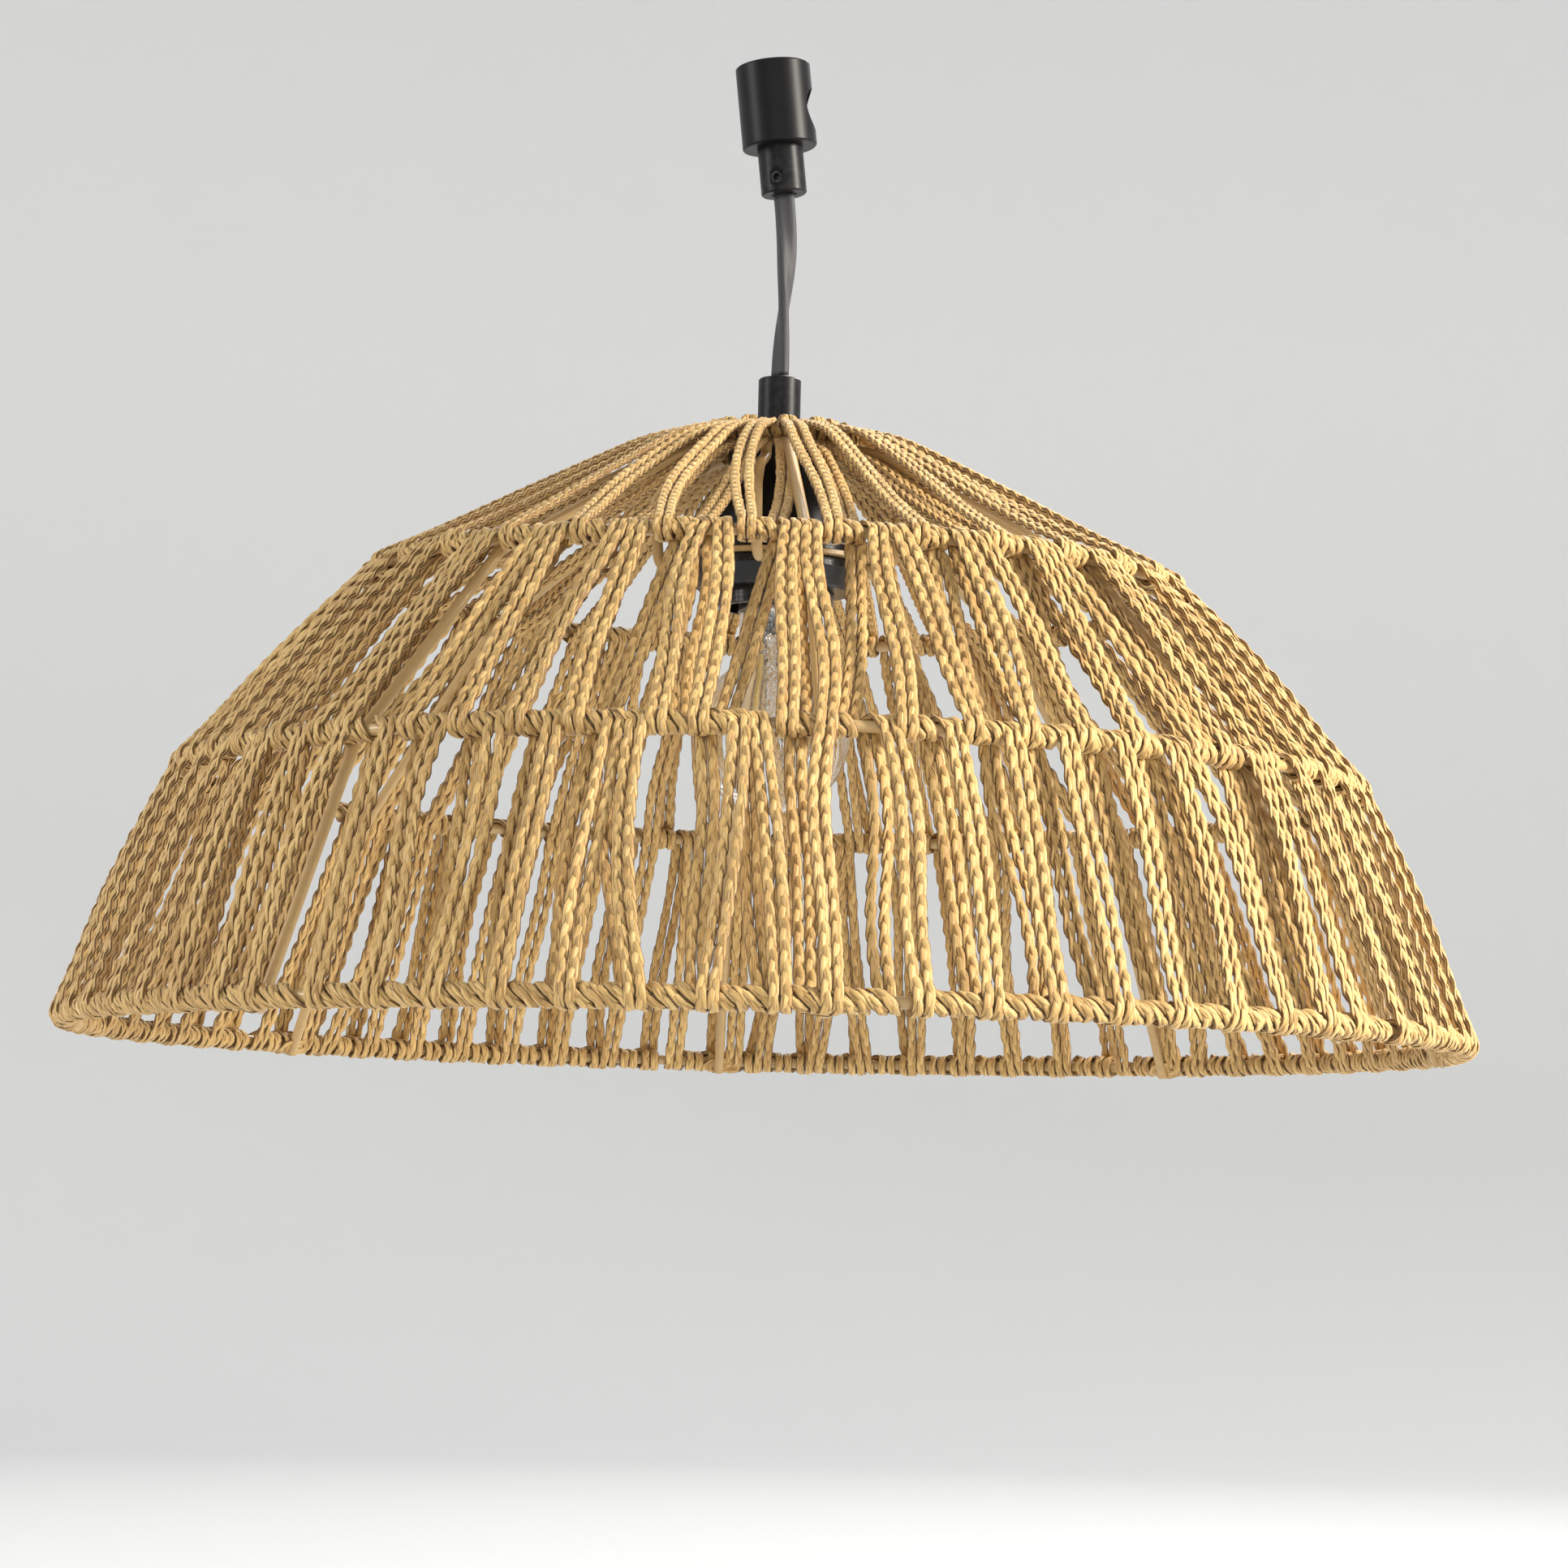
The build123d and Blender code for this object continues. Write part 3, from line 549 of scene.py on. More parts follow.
def clear_glass(finish):
    return blown_glass("clear_glass", 0.014, 0.035, 0.0008)


def stem_glass(finish):
    return blown_glass("stem_glass", 0.0022, 0.75, 0.0012)


def filament(finish):
    """Coated filament rods with a fine band of chips along them."""
    made, tree, shader = material("filament")
    bands = add(tree, "ShaderNodeTexWave",
                {"Vector": surface_place(tree), "Scale": 380.0, "Distortion": 0.4, "Detail": 1.0},
                wave_type="BANDS", bands_direction="Z")
    skin = place_group(tree, "moulded_grain", grain_size=0.0004, roughness=0.38, patchiness=0.1)
    feed(tree, shader, {
        "Base Color": mix(tree, bands.outputs["Fac"], (0.86, 0.58, 0.16), (0.90, 0.72, 0.33)),
        "Roughness": skin.outputs["Roughness"],
        "Normal": bump(tree, bands.outputs["Fac"], 0.3, 0.0002),
    })
    return made


def wire_paint(finish):
    """Glossy tan paint on steel wire, a little thicker in places, rubbed thin on sharp edges."""
    made, tree, shader = material("wire_paint")
    skin = place_group(tree, "moulded_grain", grain_size=0.0022, roughness=0.34, patchiness=0.20)
    paint = place_group(tree, "edge_wear", paint=colour(finish.wire), bare=(0.42, 0.28, 0.13, 1), wear=0.5,
                        dust=0.04)
    cloud = add(tree, "ShaderNodeTexNoise", {"Vector": surface_place(tree), "Scale": 45.0, "Detail": 3.0})
    patches = rescale(tree, cloud.outputs["Fac"], 0.35, 0.7, 0.0, 0.35)
    feed(tree, shader, {
        "Base Color": mix(tree, patches, paint.outputs["Color"], (0.50, 0.33, 0.14)),
        "Roughness": skin.outputs["Roughness"],
        "Normal": bump(tree, skin.outputs["Height"], 0.16, 0.0005),
        "Coat Weight": 0.12,
        "Coat Roughness": 0.15,
    })
    return made


def plaited_cord(plait):
    """Twisted paper straw: long fibres, tone that drifts along each strand, and painted shade in the grooves
    between strands and along each strand's side edges.
    """
    made, tree, shader = material("plaited_cord")
    fibre = add(tree, "ShaderNodeAttribute", attribute_name="fibre").outputs["Vector"]
    # The painted shade mask carried on the windings' mesh.
    depth = add(tree, "ShaderNodeAttribute", attribute_name="groove_shade").outputs["Fac"]
    drawn = add(tree, "ShaderNodeMapping", {"Vector": fibre, "Scale": (130.0, 2300.0, 2300.0)}).outputs[0]
    streaks = add(tree, "ShaderNodeTexNoise",
                  {"Vector": drawn, "Scale": 1.0, "Detail": 4.0, "Roughness": 0.6}).outputs["Fac"]
    slow = add(tree, "ShaderNodeMapping", {"Vector": fibre, "Scale": (38.0, 160.0, 160.0)}).outputs[0]
    drift = add(tree, "ShaderNodeTexNoise", {"Vector": slow, "Scale": 1.0, "Detail": 3.0}).outputs["Fac"]
    patch = add(tree, "ShaderNodeTexNoise",
                {"Vector": surface_place(tree), "Scale": 22.0, "Detail": 2.0}).outputs["Fac"]
    tone = rescale(tree, maths(tree, "ADD", maths(tree, "MULTIPLY", drift, 0.75),
                               maths(tree, "MULTIPLY", patch, 0.25)), 0.30, 0.66, 0.0, 1.0)
    ground = mix(tree, tone, plait.tan, plait.straw)
    lit = mix(tree, rescale(tree, streaks, 0.50, 0.72, 0.0, 0.65), ground, (0.92, 0.71, 0.36))
    veined = mix(tree, rescale(tree, streaks, 0.48, 0.32, 0.0, 0.80), lit, (0.24, 0.115, 0.034))
    # Painted shade: grooves and strand edges are mixed toward the dark groove colour.
    shaded = mix(tree, rescale(tree, depth, 0.34, 0.86, 0.0, 0.94), veined, plait.groove_shade)
    fold = bump(tree, drift, 0.35, 0.0006)
    feed(tree, shader, {
        "Base Color": shaded,
        "Roughness": rescale(tree, streaks, 0.3, 0.7, 0.66, 0.46),
        "Normal": bump(tree, streaks, 0.65, 0.00045, fold),
        "Specular IOR Level": 0.42,
        "Sheen Weight": 0.12,
        "Sheen Roughness": 0.45,
    })
    return made


FINISHES = {
    "black_paint": black_paint,
    "black_steel": black_steel,
    "black_plastic": black_plastic,
    "lead_sheath": lead_sheath,
    "steatite": steatite,
    "plated_steel": plated_steel,
    "brass": brass,
    "base_metal": base_metal,
    "base_glass": base_glass,
    "clear_glass": clear_glass,
    "stem_glass": stem_glass,
    "filament": filament,
    "wire_paint": wire_paint,
}


# ---------------------------------------------------------------- sizes of the plaits and windings

# A strand's section as sideways and upright shares of its half sizes, and how much painted shade each corner
# gets: full shade on the two side edges.
STRAND_SECTION = (
    np.array([1.0, 0.62, -0.62, -1.0, -0.62, 0.62]),
    np.array([0.0, 0.92, 0.92, 0.0, -0.92, -0.92]),
    np.array([1.0, 0.0, 0.0, 1.0, 0.0, 0.0]),
)
# Shares of the plait's width: a strand's swing to each side, and half of its own width.
STRAND_SWING = 0.195
STRAND_HALF_WIDTH = 0.335
# Shares of the plait's thickness: a strand's rise over its neighbour, and half of its own thickness.
STRAND_RISE = 0.205
STRAND_HALF_THICKNESS = 0.27
# Radians that a strand tips as it crosses, and its size where it lies level and what a crossing adds.
STRAND_TIP = -0.36
STRAND_SIZE = 0.86
CROSSING_SWELL = 0.18
# How loosely a plait is worked, and over how many spans along a tier that changes.
SLACK_SHARE = 0.12
SLACK_SPANS = 4000
# Painted shade darkens strand surface that lies within this share of the half section from the plait's
# middle, more the further in. Fibres shift per plait and per strand.
GROOVE_SHADE_START = 1.1
PLAIT_SHIFT = 7.3
STRAND_SHIFT = 3.1
STATIONS_PER_LAY = 14
# A plait fills this share of its place beside the next one. The two of a pair differ in lay.
PLAIT_FILL = 0.99
LAY_DIFFERENCE = 0.03
WINDING_SEED = 42
STRAND_SEED = 11

# The wire frame: its ribs, the clearance of an inner plait beside one, and how softly it gives way.
RIBS = 8
RIB_ANGLE = math.radians(4.5)
RIB_COVER = math.radians(0.3)
RIB_CLEARANCE = 0.0062
RIB_SOFTNESS = 1e-6
RIB_REACH = 3

# Pieces that each tier is cut into, and the turns a plait adds round the lower hoop before it goes up.
SECTORS = {"upper": 4, "middle": 6, "lower": 8}
EXTRA_TURNS = {"upper": 1, "middle": 1, "lower": 2}
# How far one turn moves along the lower hoop. Where it is 0, the pairs share the hoop evenly.
TURN_ADVANCE = {"upper": 0.0, "middle": 0.0, "lower": math.radians(2.05)}
# Where a pair stands within its share of a hoop, when it passes over the hoop or wraps it.
OVER_PLACE = 0.5
UNDER_PLACE = 0.56
BOTTOM_START = math.radians(1.2)
TURNS_TRIED = 40
PLACE_JITTER = 0.10
OVER_JITTER = 0.10
UNDER_JITTER = 0.08
SKEW = math.radians(-1.4)
CROWD = 0.42

# A wrap's distance from the hoop's centre line, how flat it is pulled, and its points.
WRAP_REACH = 0.00325
WRAP_RELIEF = 0.62
WRAP_STEP = math.radians(16)
WRAP_POINTS = 6
# Half the angle in a turn round the hoop in which the plait crosses to its next place.
CROSSING = math.radians(75)
# The lift of an outer leg laid over the wraps on its lower hoop, and where along the leg that starts.
OVERLAY = 0.0014
OVERLAY_START = 0.75
# The share of its step that a pair takes on top of the upper hoop, and how much that varies.
TOP_ADVANCE = 0.42
TOP_JITTER = 0.13
# Every other pair of the crown lies higher on the top ring from this turn on, and all are narrower there.
CROWN_LIFT = 0.0012
CROWN_LIFT_START = 1.15 * math.pi
CROWN_TOP_WIDTH = 0.86
# Radius and height of the point where a crown plait turns down.
SHOULDER = (0.051, -0.131)

# A leg between two hoops: its points, how far it hangs outward or inward, and how much that varies.
LEG_POINTS = 46
BELLY = {"upper": 0.0, "middle": 0.0012, "lower": 0.0024}
INNER_SAG = {"upper": 0.0040, "middle": 0.0004, "lower": 0.0004}
BELLY_JITTER = 0.0005
SAG_JITTER = 0.0006
# Its lean eases in and out by this share, and it sways in one bow and in an S.
LEG_EASE = 0.35
BOW_JITTER = 0.0015
S_JITTER = 0.0008
ROLL_JITTER = 0.16
# The two plaits of a pair spread apart by a mean and a jitter, most at a place drawn from a range.
SPREAD_MEAN = 0.06
SPREAD_JITTER = 0.20
SPREAD_PLACE = (0.55, 1.8)
# How soon a plait regains its full relief away from a hoop.
RELIEF_GAIN = 6

# The plait wound on the top ring.
RING_WIRE = 0.0020
RING_TURNS = 43
RING_TURN_POINTS = 20
RING_THICKNESS = 0.0017

# The flat cord's section: its points, how flat it runs over each core, and the waist between the cores.
CORD_SIDES = 40
CORE_SPREAD = 3.0
CORE_FLATNESS = 0.8
WAIST_DEPTH = 0.16
WAIST_WIDTH = 0.45


# ---------------------------------------------------------------- meshes from swept sections


def unit(vectors):
    return vectors / np.maximum(np.linalg.norm(vectors, axis=-1, keepdims=True), 1e-12)


def along(places):
    """Direction of travel at each point of a line."""
    return unit(np.gradient(places, axis=0))


def tube_mesh(name, tubes):
    """A mesh of closed tubes. Each tube holds corners (stations, sides, 3), fibre coordinates and a mask of
    painted groove shade.
    """
    places, fibres, groove_shades, quads, caps, start = [], [], [], [], [], 0
    for corners, fibre, groove_shade in tubes:
        stations, sides = corners.shape[:2]
        index = start + np.arange(stations * sides).reshape(stations, sides)
        turned = np.roll(index, -1, axis=1)
        quads.append(np.stack([index[:-1], turned[:-1], turned[1:], index[1:]], axis=-1).reshape(-1, 4))
        caps += [index[0, ::-1], index[-1]]
        places.append(corners.reshape(-1, 3))
        fibres.append(fibre.reshape(-1, 3))
        groove_shades.append(groove_shade.reshape(-1))
        start += stations * sides
    places, quads = np.concatenate(places), np.concatenate(quads)
    corner_counts = np.concatenate([np.full(len(quads), 4), [len(cap) for cap in caps]]).astype(np.int32)
    corner_list = np.concatenate([quads.reshape(-1), *caps]).astype(np.int32)
    mesh = bpy.data.meshes.new(name)
    mesh.vertices.add(len(places))
    mesh.vertices.foreach_set("co", places.astype(np.float32).reshape(-1))
    mesh.loops.add(len(corner_list))
    mesh.loops.foreach_set("vertex_index", corner_list)
    mesh.polygons.add(len(corner_counts))
    starts = np.concatenate([[0], np.cumsum(corner_counts)[:-1]]).astype(np.int32)
    mesh.polygons.foreach_set("loop_start", starts)
    mesh.polygons.foreach_set("use_smooth", np.ones(len(corner_counts), bool))
    mesh.update(calc_edges=True)
    mesh.validate()
    mesh.attributes.new("fibre", "FLOAT_VECTOR", "POINT").data.foreach_set(
        "vector", np.concatenate(fibres).astype(np.float32).reshape(-1)
    )
    mesh.attributes.new("groove_shade", "FLOAT", "POINT").data.foreach_set(
        "value", np.concatenate(groove_shades).astype(np.float32)
    )
    return mesh


# ---------------------------------------------------------------- the windings' path


def plait_strands(line, upward, across, distance, width, relief, thickness, lay, seed):
    """Three flat strands plaited along a line. Upward and across span the plait's section.

    Relief is 1 where the plait hangs free and less where it is pulled flat round a hoop."""
    swing = width * STRAND_SWING
    rise = thickness * STRAND_RISE * relief
    half_width = width * STRAND_HALF_WIDTH
    half_thickness = thickness * STRAND_HALF_THICKNESS
    sideways, upright, edge = STRAND_SECTION
    rounding = np.random.default_rng(seed)
    slack = 1 + SLACK_SHARE * np.interp(distance, np.linspace(distance[0], distance[-1], SLACK_SPANS),
                                        rounding.uniform(-1, 1, SLACK_SPANS))
    strands = []
    for strand in range(3):
        phase = 2 * np.pi * (distance / lay + strand / 3) + seed
        side = np.sin(phase)
        lift = np.sin(2 * phase)
        centre = line + (swing * slack * side)[:, None] * across + (rise * lift)[:, None] * upward
        ahead = along(centre)
        wide = unit(across - (across * ahead).sum(1, keepdims=True) * ahead)
        thick = np.cross(ahead, wide)
        roll = STRAND_TIP * side * lift * relief
        wide, thick = (
            wide * np.cos(roll)[:, None] + thick * np.sin(roll)[:, None],
            thick * np.cos(roll)[:, None] - wide * np.sin(roll)[:, None],
        )
        swell = STRAND_SIZE + CROSSING_SWELL * np.abs(lift)
        reach = (half_width * swell * slack)[:, None] * sideways[None]
        height = half_thickness * swell[:, None] * upright[None]
        corners = centre[:, None] + reach[..., None] * wide[:, None] + height[..., None] * thick[:, None]
        offset = corners - line[:, None]
        outness = np.hypot((offset * across[:, None]).sum(-1) / (width[:, None] / 2),
                           (offset * upward[:, None]).sum(-1) / (thickness / 2))
        # Painted shade in the plait's grooves: surface that lies deeper inside the plait is darker.
        crease_shade = np.clip(GROOVE_SHADE_START - outness, 0, 1)
        shift = PLAIT_SHIFT * seed + STRAND_SHIFT * strand
        fibre = np.stack([np.broadcast_to(distance[:, None] + shift, reach.shape), reach + shift, height], -1)
        # Each strand's side edges get full painted shade as well.
        strands.append((corners, fibre, np.maximum(crease_shade, edge[None])))
    return strands


def hoop(node):
    """Radius and height of a hoop's centre line, from its node."""
    low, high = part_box(node)
    wire = (high.z - low.z) / 2
    return (high.x - low.x) / 2 - wire, (high.z + low.z) / 2


def ring_places(over, under, turns, draw):
    """Shares a hoop between pairs that pass over it from the tier below and pairs that wrap it from above.

    The over passes lie on the ribs. Returns the angle of each over pass, of each first under pass, and
    the angle that one pass takes."""
    entries = [((k + OVER_PLACE) / over + draw.normal(0, PLACE_JITTER) / over, 0, k, 1) for k in range(over)]
    entries += [((k + UNDER_PLACE) / under + draw.normal(0, PLACE_JITTER) / under, 1, k, turns)
                for k in range(under)]
    entries.sort()
    share = 2 * math.pi / sum(entry[3] for entry in entries)
    places, used = [dict(), dict()], 0
    for _, kind, index, passes in entries:
        places[kind][len(places[kind])] = (used + 0.5) * share
        used += passes
    over_places, under_places = (np.array([found[k] for k in range(len(found))]) for found in places)
    ribs = RIB_ANGLE + RIB_COVER + 2 * np.pi / RIBS * np.arange(RIBS)
    turns_tried = np.linspace(0, 2 * np.pi / over, TURNS_TRIED)
    misses = [np.abs((over_places[None] + turn - ribs[:, None] + np.pi) % (2 * np.pi) - np.pi).min(1).sum()
              for turn in turns_tried]
    turn = turns_tried[int(np.argmin(misses))]
    under_places = under_places + turn + draw.normal(0, UNDER_JITTER * share, under)
    return over_places + turn + draw.normal(0, OVER_JITTER * share, over), under_places, share


def paired(top_places, foot_places):
    """The foot places renumbered so that the pairs lean by the usual skew."""
    whole = 2 * np.pi
    turned = [np.concatenate([foot_places[k:], foot_places[:k] + whole]) if k >= 0
              else np.concatenate([foot_places[k:] - whole, foot_places[:k]]) for k in range(-3, 4)]
    return min(turned, key=lambda feet: abs((feet - top_places).mean() - SKEW))


def crowded(angles):
    """Pairs stand closer on the top ring at its four diagonals than in front, behind and at the sides."""
    return angles + CROWD * np.sin(4 * angles) / 4


def beside_ribs(radius, angle):
    """Moves an inner leg's points sideways so that it passes beside each rib and not through it."""
    pitch = 2 * np.pi / RIBS
    gap = (angle - RIB_ANGLE + pitch / 2) % pitch - pitch / 2
    side = 1.0 if gap.mean() >= 0 else -1.0
    gap_length = gap * radius * side
    clear = (gap_length + RIB_CLEARANCE + np.sqrt((gap_length - RIB_CLEARANCE) ** 2 + RIB_SOFTNESS)) / 2
    near = np.abs(gap_length) < RIB_REACH * RIB_CLEARANCE
    return angle + np.where(near, clear - gap_length, 0) * side / radius


def over_ribs(top_places, foot_places):
    """Lays the outer leg nearest to each rib straight over it, so that it hides the rib."""
    top_places, foot_places = top_places.copy(), foot_places.copy()
    for rib in RIB_ANGLE + RIB_COVER + 2 * np.pi / RIBS * np.arange(RIBS):
        gaps = [(places - rib + np.pi) % (2 * np.pi) - np.pi for places in (top_places, foot_places)]
        nearest = int(np.argmin(np.abs(gaps[0]) + np.abs(gaps[1])))
        top_places[nearest] -= gaps[0][nearest]
        foot_places[nearest] -= gaps[1][nearest]
    return top_places, foot_places


def leg(tier, start, end, facing, angles, draw, width):
    """One straight run between two hoops, outside (facing 1) or inside (facing -1) the wires."""
    knots = [start, SHOULDER, end] if tier == "upper" else [start, end]
    if facing < 0:
        knots = knots[::-1]
    knots = np.array(knots)
    lengths = np.concatenate([[0], np.cumsum(np.linalg.norm(np.diff(knots, axis=0), axis=1))])
    share = np.linspace(0, 1, LEG_POINTS)
    section = np.stack([np.interp(share * lengths[-1], lengths, knots[:, axis]) for axis in (0, 1)], -1)
    if tier == "upper":
        rounded = np.array([1, 2, 3, 4, 3, 2, 1]) / 16
        padded = np.concatenate([section[:1].repeat(3, 0), section, section[-1:].repeat(3, 0)])
        smooth = np.stack([np.convolve(padded[:, axis], rounded, "valid") for axis in (0, 1)], -1)
        section[3:-3] = smooth[3:-3]
    downward = np.gradient(section, axis=0) * facing
    downward /= np.linalg.norm(downward, axis=1, keepdims=True)
    outward = np.stack([-downward[:, 1], downward[:, 0]], -1)
    hump = np.sin(np.pi * share)
    if facing > 0:
        slack = BELLY[tier] + draw.normal(0, BELLY_JITTER)
        overlay = OVERLAY * np.clip((share - OVERLAY_START) / (1 - OVERLAY_START), 0, 1) ** 2
    else:
        slack = draw.normal(0, SAG_JITTER) - INNER_SAG[tier]
        overlay = 0.0
    section += outward * (facing * WRAP_REACH + hump * slack + overlay)[:, None]
    ease = share * share * (3 - 2 * share)
    angle = angles[0] + (angles[1] - angles[0]) * (LEG_EASE * ease + (1 - LEG_EASE) * share)
    sway = draw.normal(0, BOW_JITTER) * hump + draw.normal(0, S_JITTER) * np.sin(2 * np.pi * share)
    angle = angle + sway / section[:, 0]
    if facing < 0 and tier != "upper":
        angle = beside_ribs(section[:, 0], angle)
    roll = hump * draw.normal(0, ROLL_JITTER)
    lean = np.sin(np.pi * share ** draw.uniform(*SPREAD_PLACE))
    spread = 1 + lean * abs(draw.normal(SPREAD_MEAN, SPREAD_JITTER))
    relief = WRAP_RELIEF + (1 - WRAP_RELIEF) * np.clip(hump * RELIEF_GAIN, 0, 1)
    return section, outward * facing, angle, roll, spread * width, relief


def wrap(centre, outward, downward, steps, angles, lifts, width):
    """Turns round a hoop's section, where 0 is outward and 90 degrees is down.

    Steps are turns in the section, each with its place along the hoop and its lift off the hoop."""
    count = max(WRAP_POINTS, int((steps[-1] - steps[0]) / WRAP_STEP))
    turn = np.linspace(steps[0], steps[-1], count + 2)[1:-1]
    facing = np.cos(turn)[:, None] * outward + np.sin(turn)[:, None] * downward
    section = np.array(centre) + facing * (WRAP_REACH + np.interp(turn, steps, lifts))[:, None]
    level = np.zeros(count)
    return section, facing, np.interp(turn, steps, angles), level, level + width, level + WRAP_RELIEF


def tier_line(tier, top, foot, top_places, foot_places, share, widths, draw):
    """The whole zigzag of one tier: down outside, round the lower hoop, up inside, over the upper hoop."""
    start, end = np.array(top), np.array(foot)
    first_way = unit(np.array(SHOULDER) - start) if tier == "upper" else unit(end - start)
    last_way = unit(end - np.array(SHOULDER)) if tier == "upper" else unit(end - start)
    first_out = np.array([-first_way[1], first_way[0]])
    last_out = np.array([-last_way[1], last_way[0]])
    pairs, turns, whole = len(top_places), EXTRA_TURNS[tier], 2 * math.pi
    advance = TURN_ADVANCE[tier] or share
    pieces = []
    for k in range(pairs):
        onward = top_places[k + 1] if k + 1 < pairs else top_places[0] + whole
        low = foot_places[k]
        steps, places = [0, math.pi], [low, low]
        for turn in range(1, turns + 1):
            steps += [whole * turn - CROSSING, whole * turn + CROSSING]
            places += [low + advance * (turn - 1), low + advance * turn]
        steps.append(whole * turns + math.pi)
        places.append(low + advance * turns)
        lifts = [OVERLAY] + [0.0] * (len(steps) - 1)
        arrive = onward - (TOP_ADVANCE + draw.normal(0, TOP_JITTER)) * whole / pairs
        crown_lift = CROWN_LIFT * (0.5 + k % 2) if tier == "upper" else 0.0
        pieces.append(leg(tier, top, foot, 1, (top_places[k], low), draw, widths[0]))
        pieces.append(wrap(end, last_out, last_way, steps, places, lifts, widths[1]))
        pieces.append(leg(tier, top, foot, -1, (places[-1], arrive), draw, widths[0]))
        pieces.append(wrap(start, first_out, first_way, [math.pi, CROWN_LIFT_START, whole],
                           [arrive, arrive, onward], [0.0, crown_lift, crown_lift], widths[2]))
    return [np.concatenate(part) for part in zip(*pieces)]


def in_space(section, angle):
    return np.stack([section[:, 0] * np.cos(angle), section[:, 0] * np.sin(angle), section[:, 1]], -1)


def even_line(step, section, facing, angle, roll, width, relief):
    """The same line at even steps, in space, with its upward and sideways directions."""
    places = in_space(section, angle)
    travelled = np.concatenate([[0], np.cumsum(np.linalg.norm(np.diff(places, axis=0), axis=1))])
    distance = np.linspace(0, travelled[-1], int(travelled[-1] / step))
    columns = [*section.T, *facing.T, angle, roll, width, relief]
    parts = [np.interp(distance, travelled, column) for column in columns]
    line = in_space(np.stack(parts[:2], -1), parts[4])
    upward = unit(np.stack([parts[2] * np.cos(parts[4]), parts[2] * np.sin(parts[4]), parts[3]], -1))
    ahead = along(line)
    across = unit(np.cross(ahead, upward))
    upward = np.cross(across, ahead)
    turn = parts[5][:, None]
    across, upward = (
        across * np.cos(turn) + upward * np.sin(turn),
        upward * np.cos(turn) - across * np.sin(turn),
    )
    return distance, line, upward, across, parts[6], parts[7]


def ring_line(ring):
    """One plait wound close round the top ring, under the pairs that pass over it."""
    turn = np.linspace(0, 2 * np.pi * RING_TURNS, RING_TURNS * RING_TURN_POINTS)
    facing = np.stack([np.cos(turn), -np.sin(turn)], -1)
    section = np.array(ring) + facing * (RING_WIRE + RING_THICKNESS / 2)
    angle = turn / RING_TURNS
    level = np.zeros(len(turn))
    return section, facing, angle, level, level + 2 * np.pi * ring[0] / RING_TURNS, level + WRAP_RELIEF


def rope_pieces(tier, count, sides, line_parts, lay, thickness, finish, replaced):
    """Sweeps the plaits side by side along a line and cuts them into pieces that ride on the shade."""
    distance, line, upward, across, width, relief = line_parts
    edges = np.linspace(0, len(distance) - 1, count + 1).astype(int)
    strands = []
    plait_width = np.minimum(width, np.median(width)) * PLAIT_FILL
    for side in sides:
        centre = line + (side * width / 2)[:, None] * across
        strands += plait_strands(centre, upward, across, distance, plait_width, relief, thickness,
                                 lay * (1 + LAY_DIFFERENCE * side), STRAND_SEED + side + len(tier))
    for number in range(count):
        cut = slice(edges[number], edges[number + 1] + 1)
        tubes = [(corners[cut], fibre[cut], groove_shade[cut]) for corners, fibre, groove_shade in strands]
        name = f"{tier}_rope_{number + 1}"
        rope = link(bpy.data.objects.new(name, tube_mesh(name, tubes)))
        rope.data.materials.append(finish)
        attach(rope, "shade")
        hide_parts(*replaced)


# ---------------------------------------------------------------- operators


class OBJECT_OT_shade_cord(bpy.types.Operator):
    """Make the flat cord between the coupler and the lampholder"""

    bl_idname = "object.shade_cord"
    bl_label = "Hanging cord"

    def execute(self, context):
        flex = context.scene.shade_flex
        curve = bpy.data.curves.new("cord_route", "CURVE")
        curve.dimensions = "3D"
        curve.resolution_u = 20
        spline = curve.splines.new("NURBS")
        spline.points.add(len(CORD_ROUTE) - 1)
        for point, place in zip(spline.points, CORD_ROUTE):
            point.co = (*place, 1.0)
        spline.order_u = 3
        spline.use_endpoint_u = True
        route = link(bpy.data.objects.new("cord_route", curve))
        line_mesh = bpy.data.meshes.new_from_object(route)
        path = [tuple(vertex.co) for vertex in line_mesh.vertices]
        bpy.data.objects.remove(route)
        bpy.data.meshes.remove(line_mesh)
        line = np.array([(*path[0][:2], path[0][2] + flex.tucked)] + path)
        ahead = along(line)
        share = np.clip((path[0][2] - line[:, 2]) / (path[0][2] - path[-1][2]), 0, 1)
        turn = flex.twist * share * share * (3 - 2 * share)
        side = np.stack([np.cos(turn), np.sin(turn), np.zeros(len(turn))], -1)
        side = unit(side - (side * ahead).sum(1, keepdims=True) * ahead)
        front = np.cross(ahead, side)
        around = np.linspace(0, 2 * np.pi, CORD_SIDES, endpoint=False)
        core = flex.thickness / 2
        apart = flex.width / 2 - core
        reach = apart * np.tanh(CORE_SPREAD * np.cos(around)) + core * np.cos(around)
        waist = 1 - WAIST_DEPTH * np.exp(-(reach / (core * WAIST_WIDTH)) ** 2)
        height = core * np.sign(np.sin(around)) * np.abs(np.sin(around)) ** CORE_FLATNESS * waist
        sideways, forward = reach[None, :, None] * side[:, None], height[None, :, None] * front[:, None]
        corners = line[:, None] + sideways + forward
        travelled = np.concatenate([[0], np.cumsum(np.linalg.norm(np.diff(line, axis=0), axis=1))])
        fibre = np.stack(np.broadcast_arrays(travelled[:, None], reach[None], height[None]), -1)
        mesh = tube_mesh("flat_cord", [(corners, fibre, np.zeros(corners.shape[:2]))])
        mesh.materials.append(cord_sheath(flex))
        cord = link(bpy.data.objects.new("flat_cord", mesh))
        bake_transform(cord)
        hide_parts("cord")
        return {"FINISHED"}


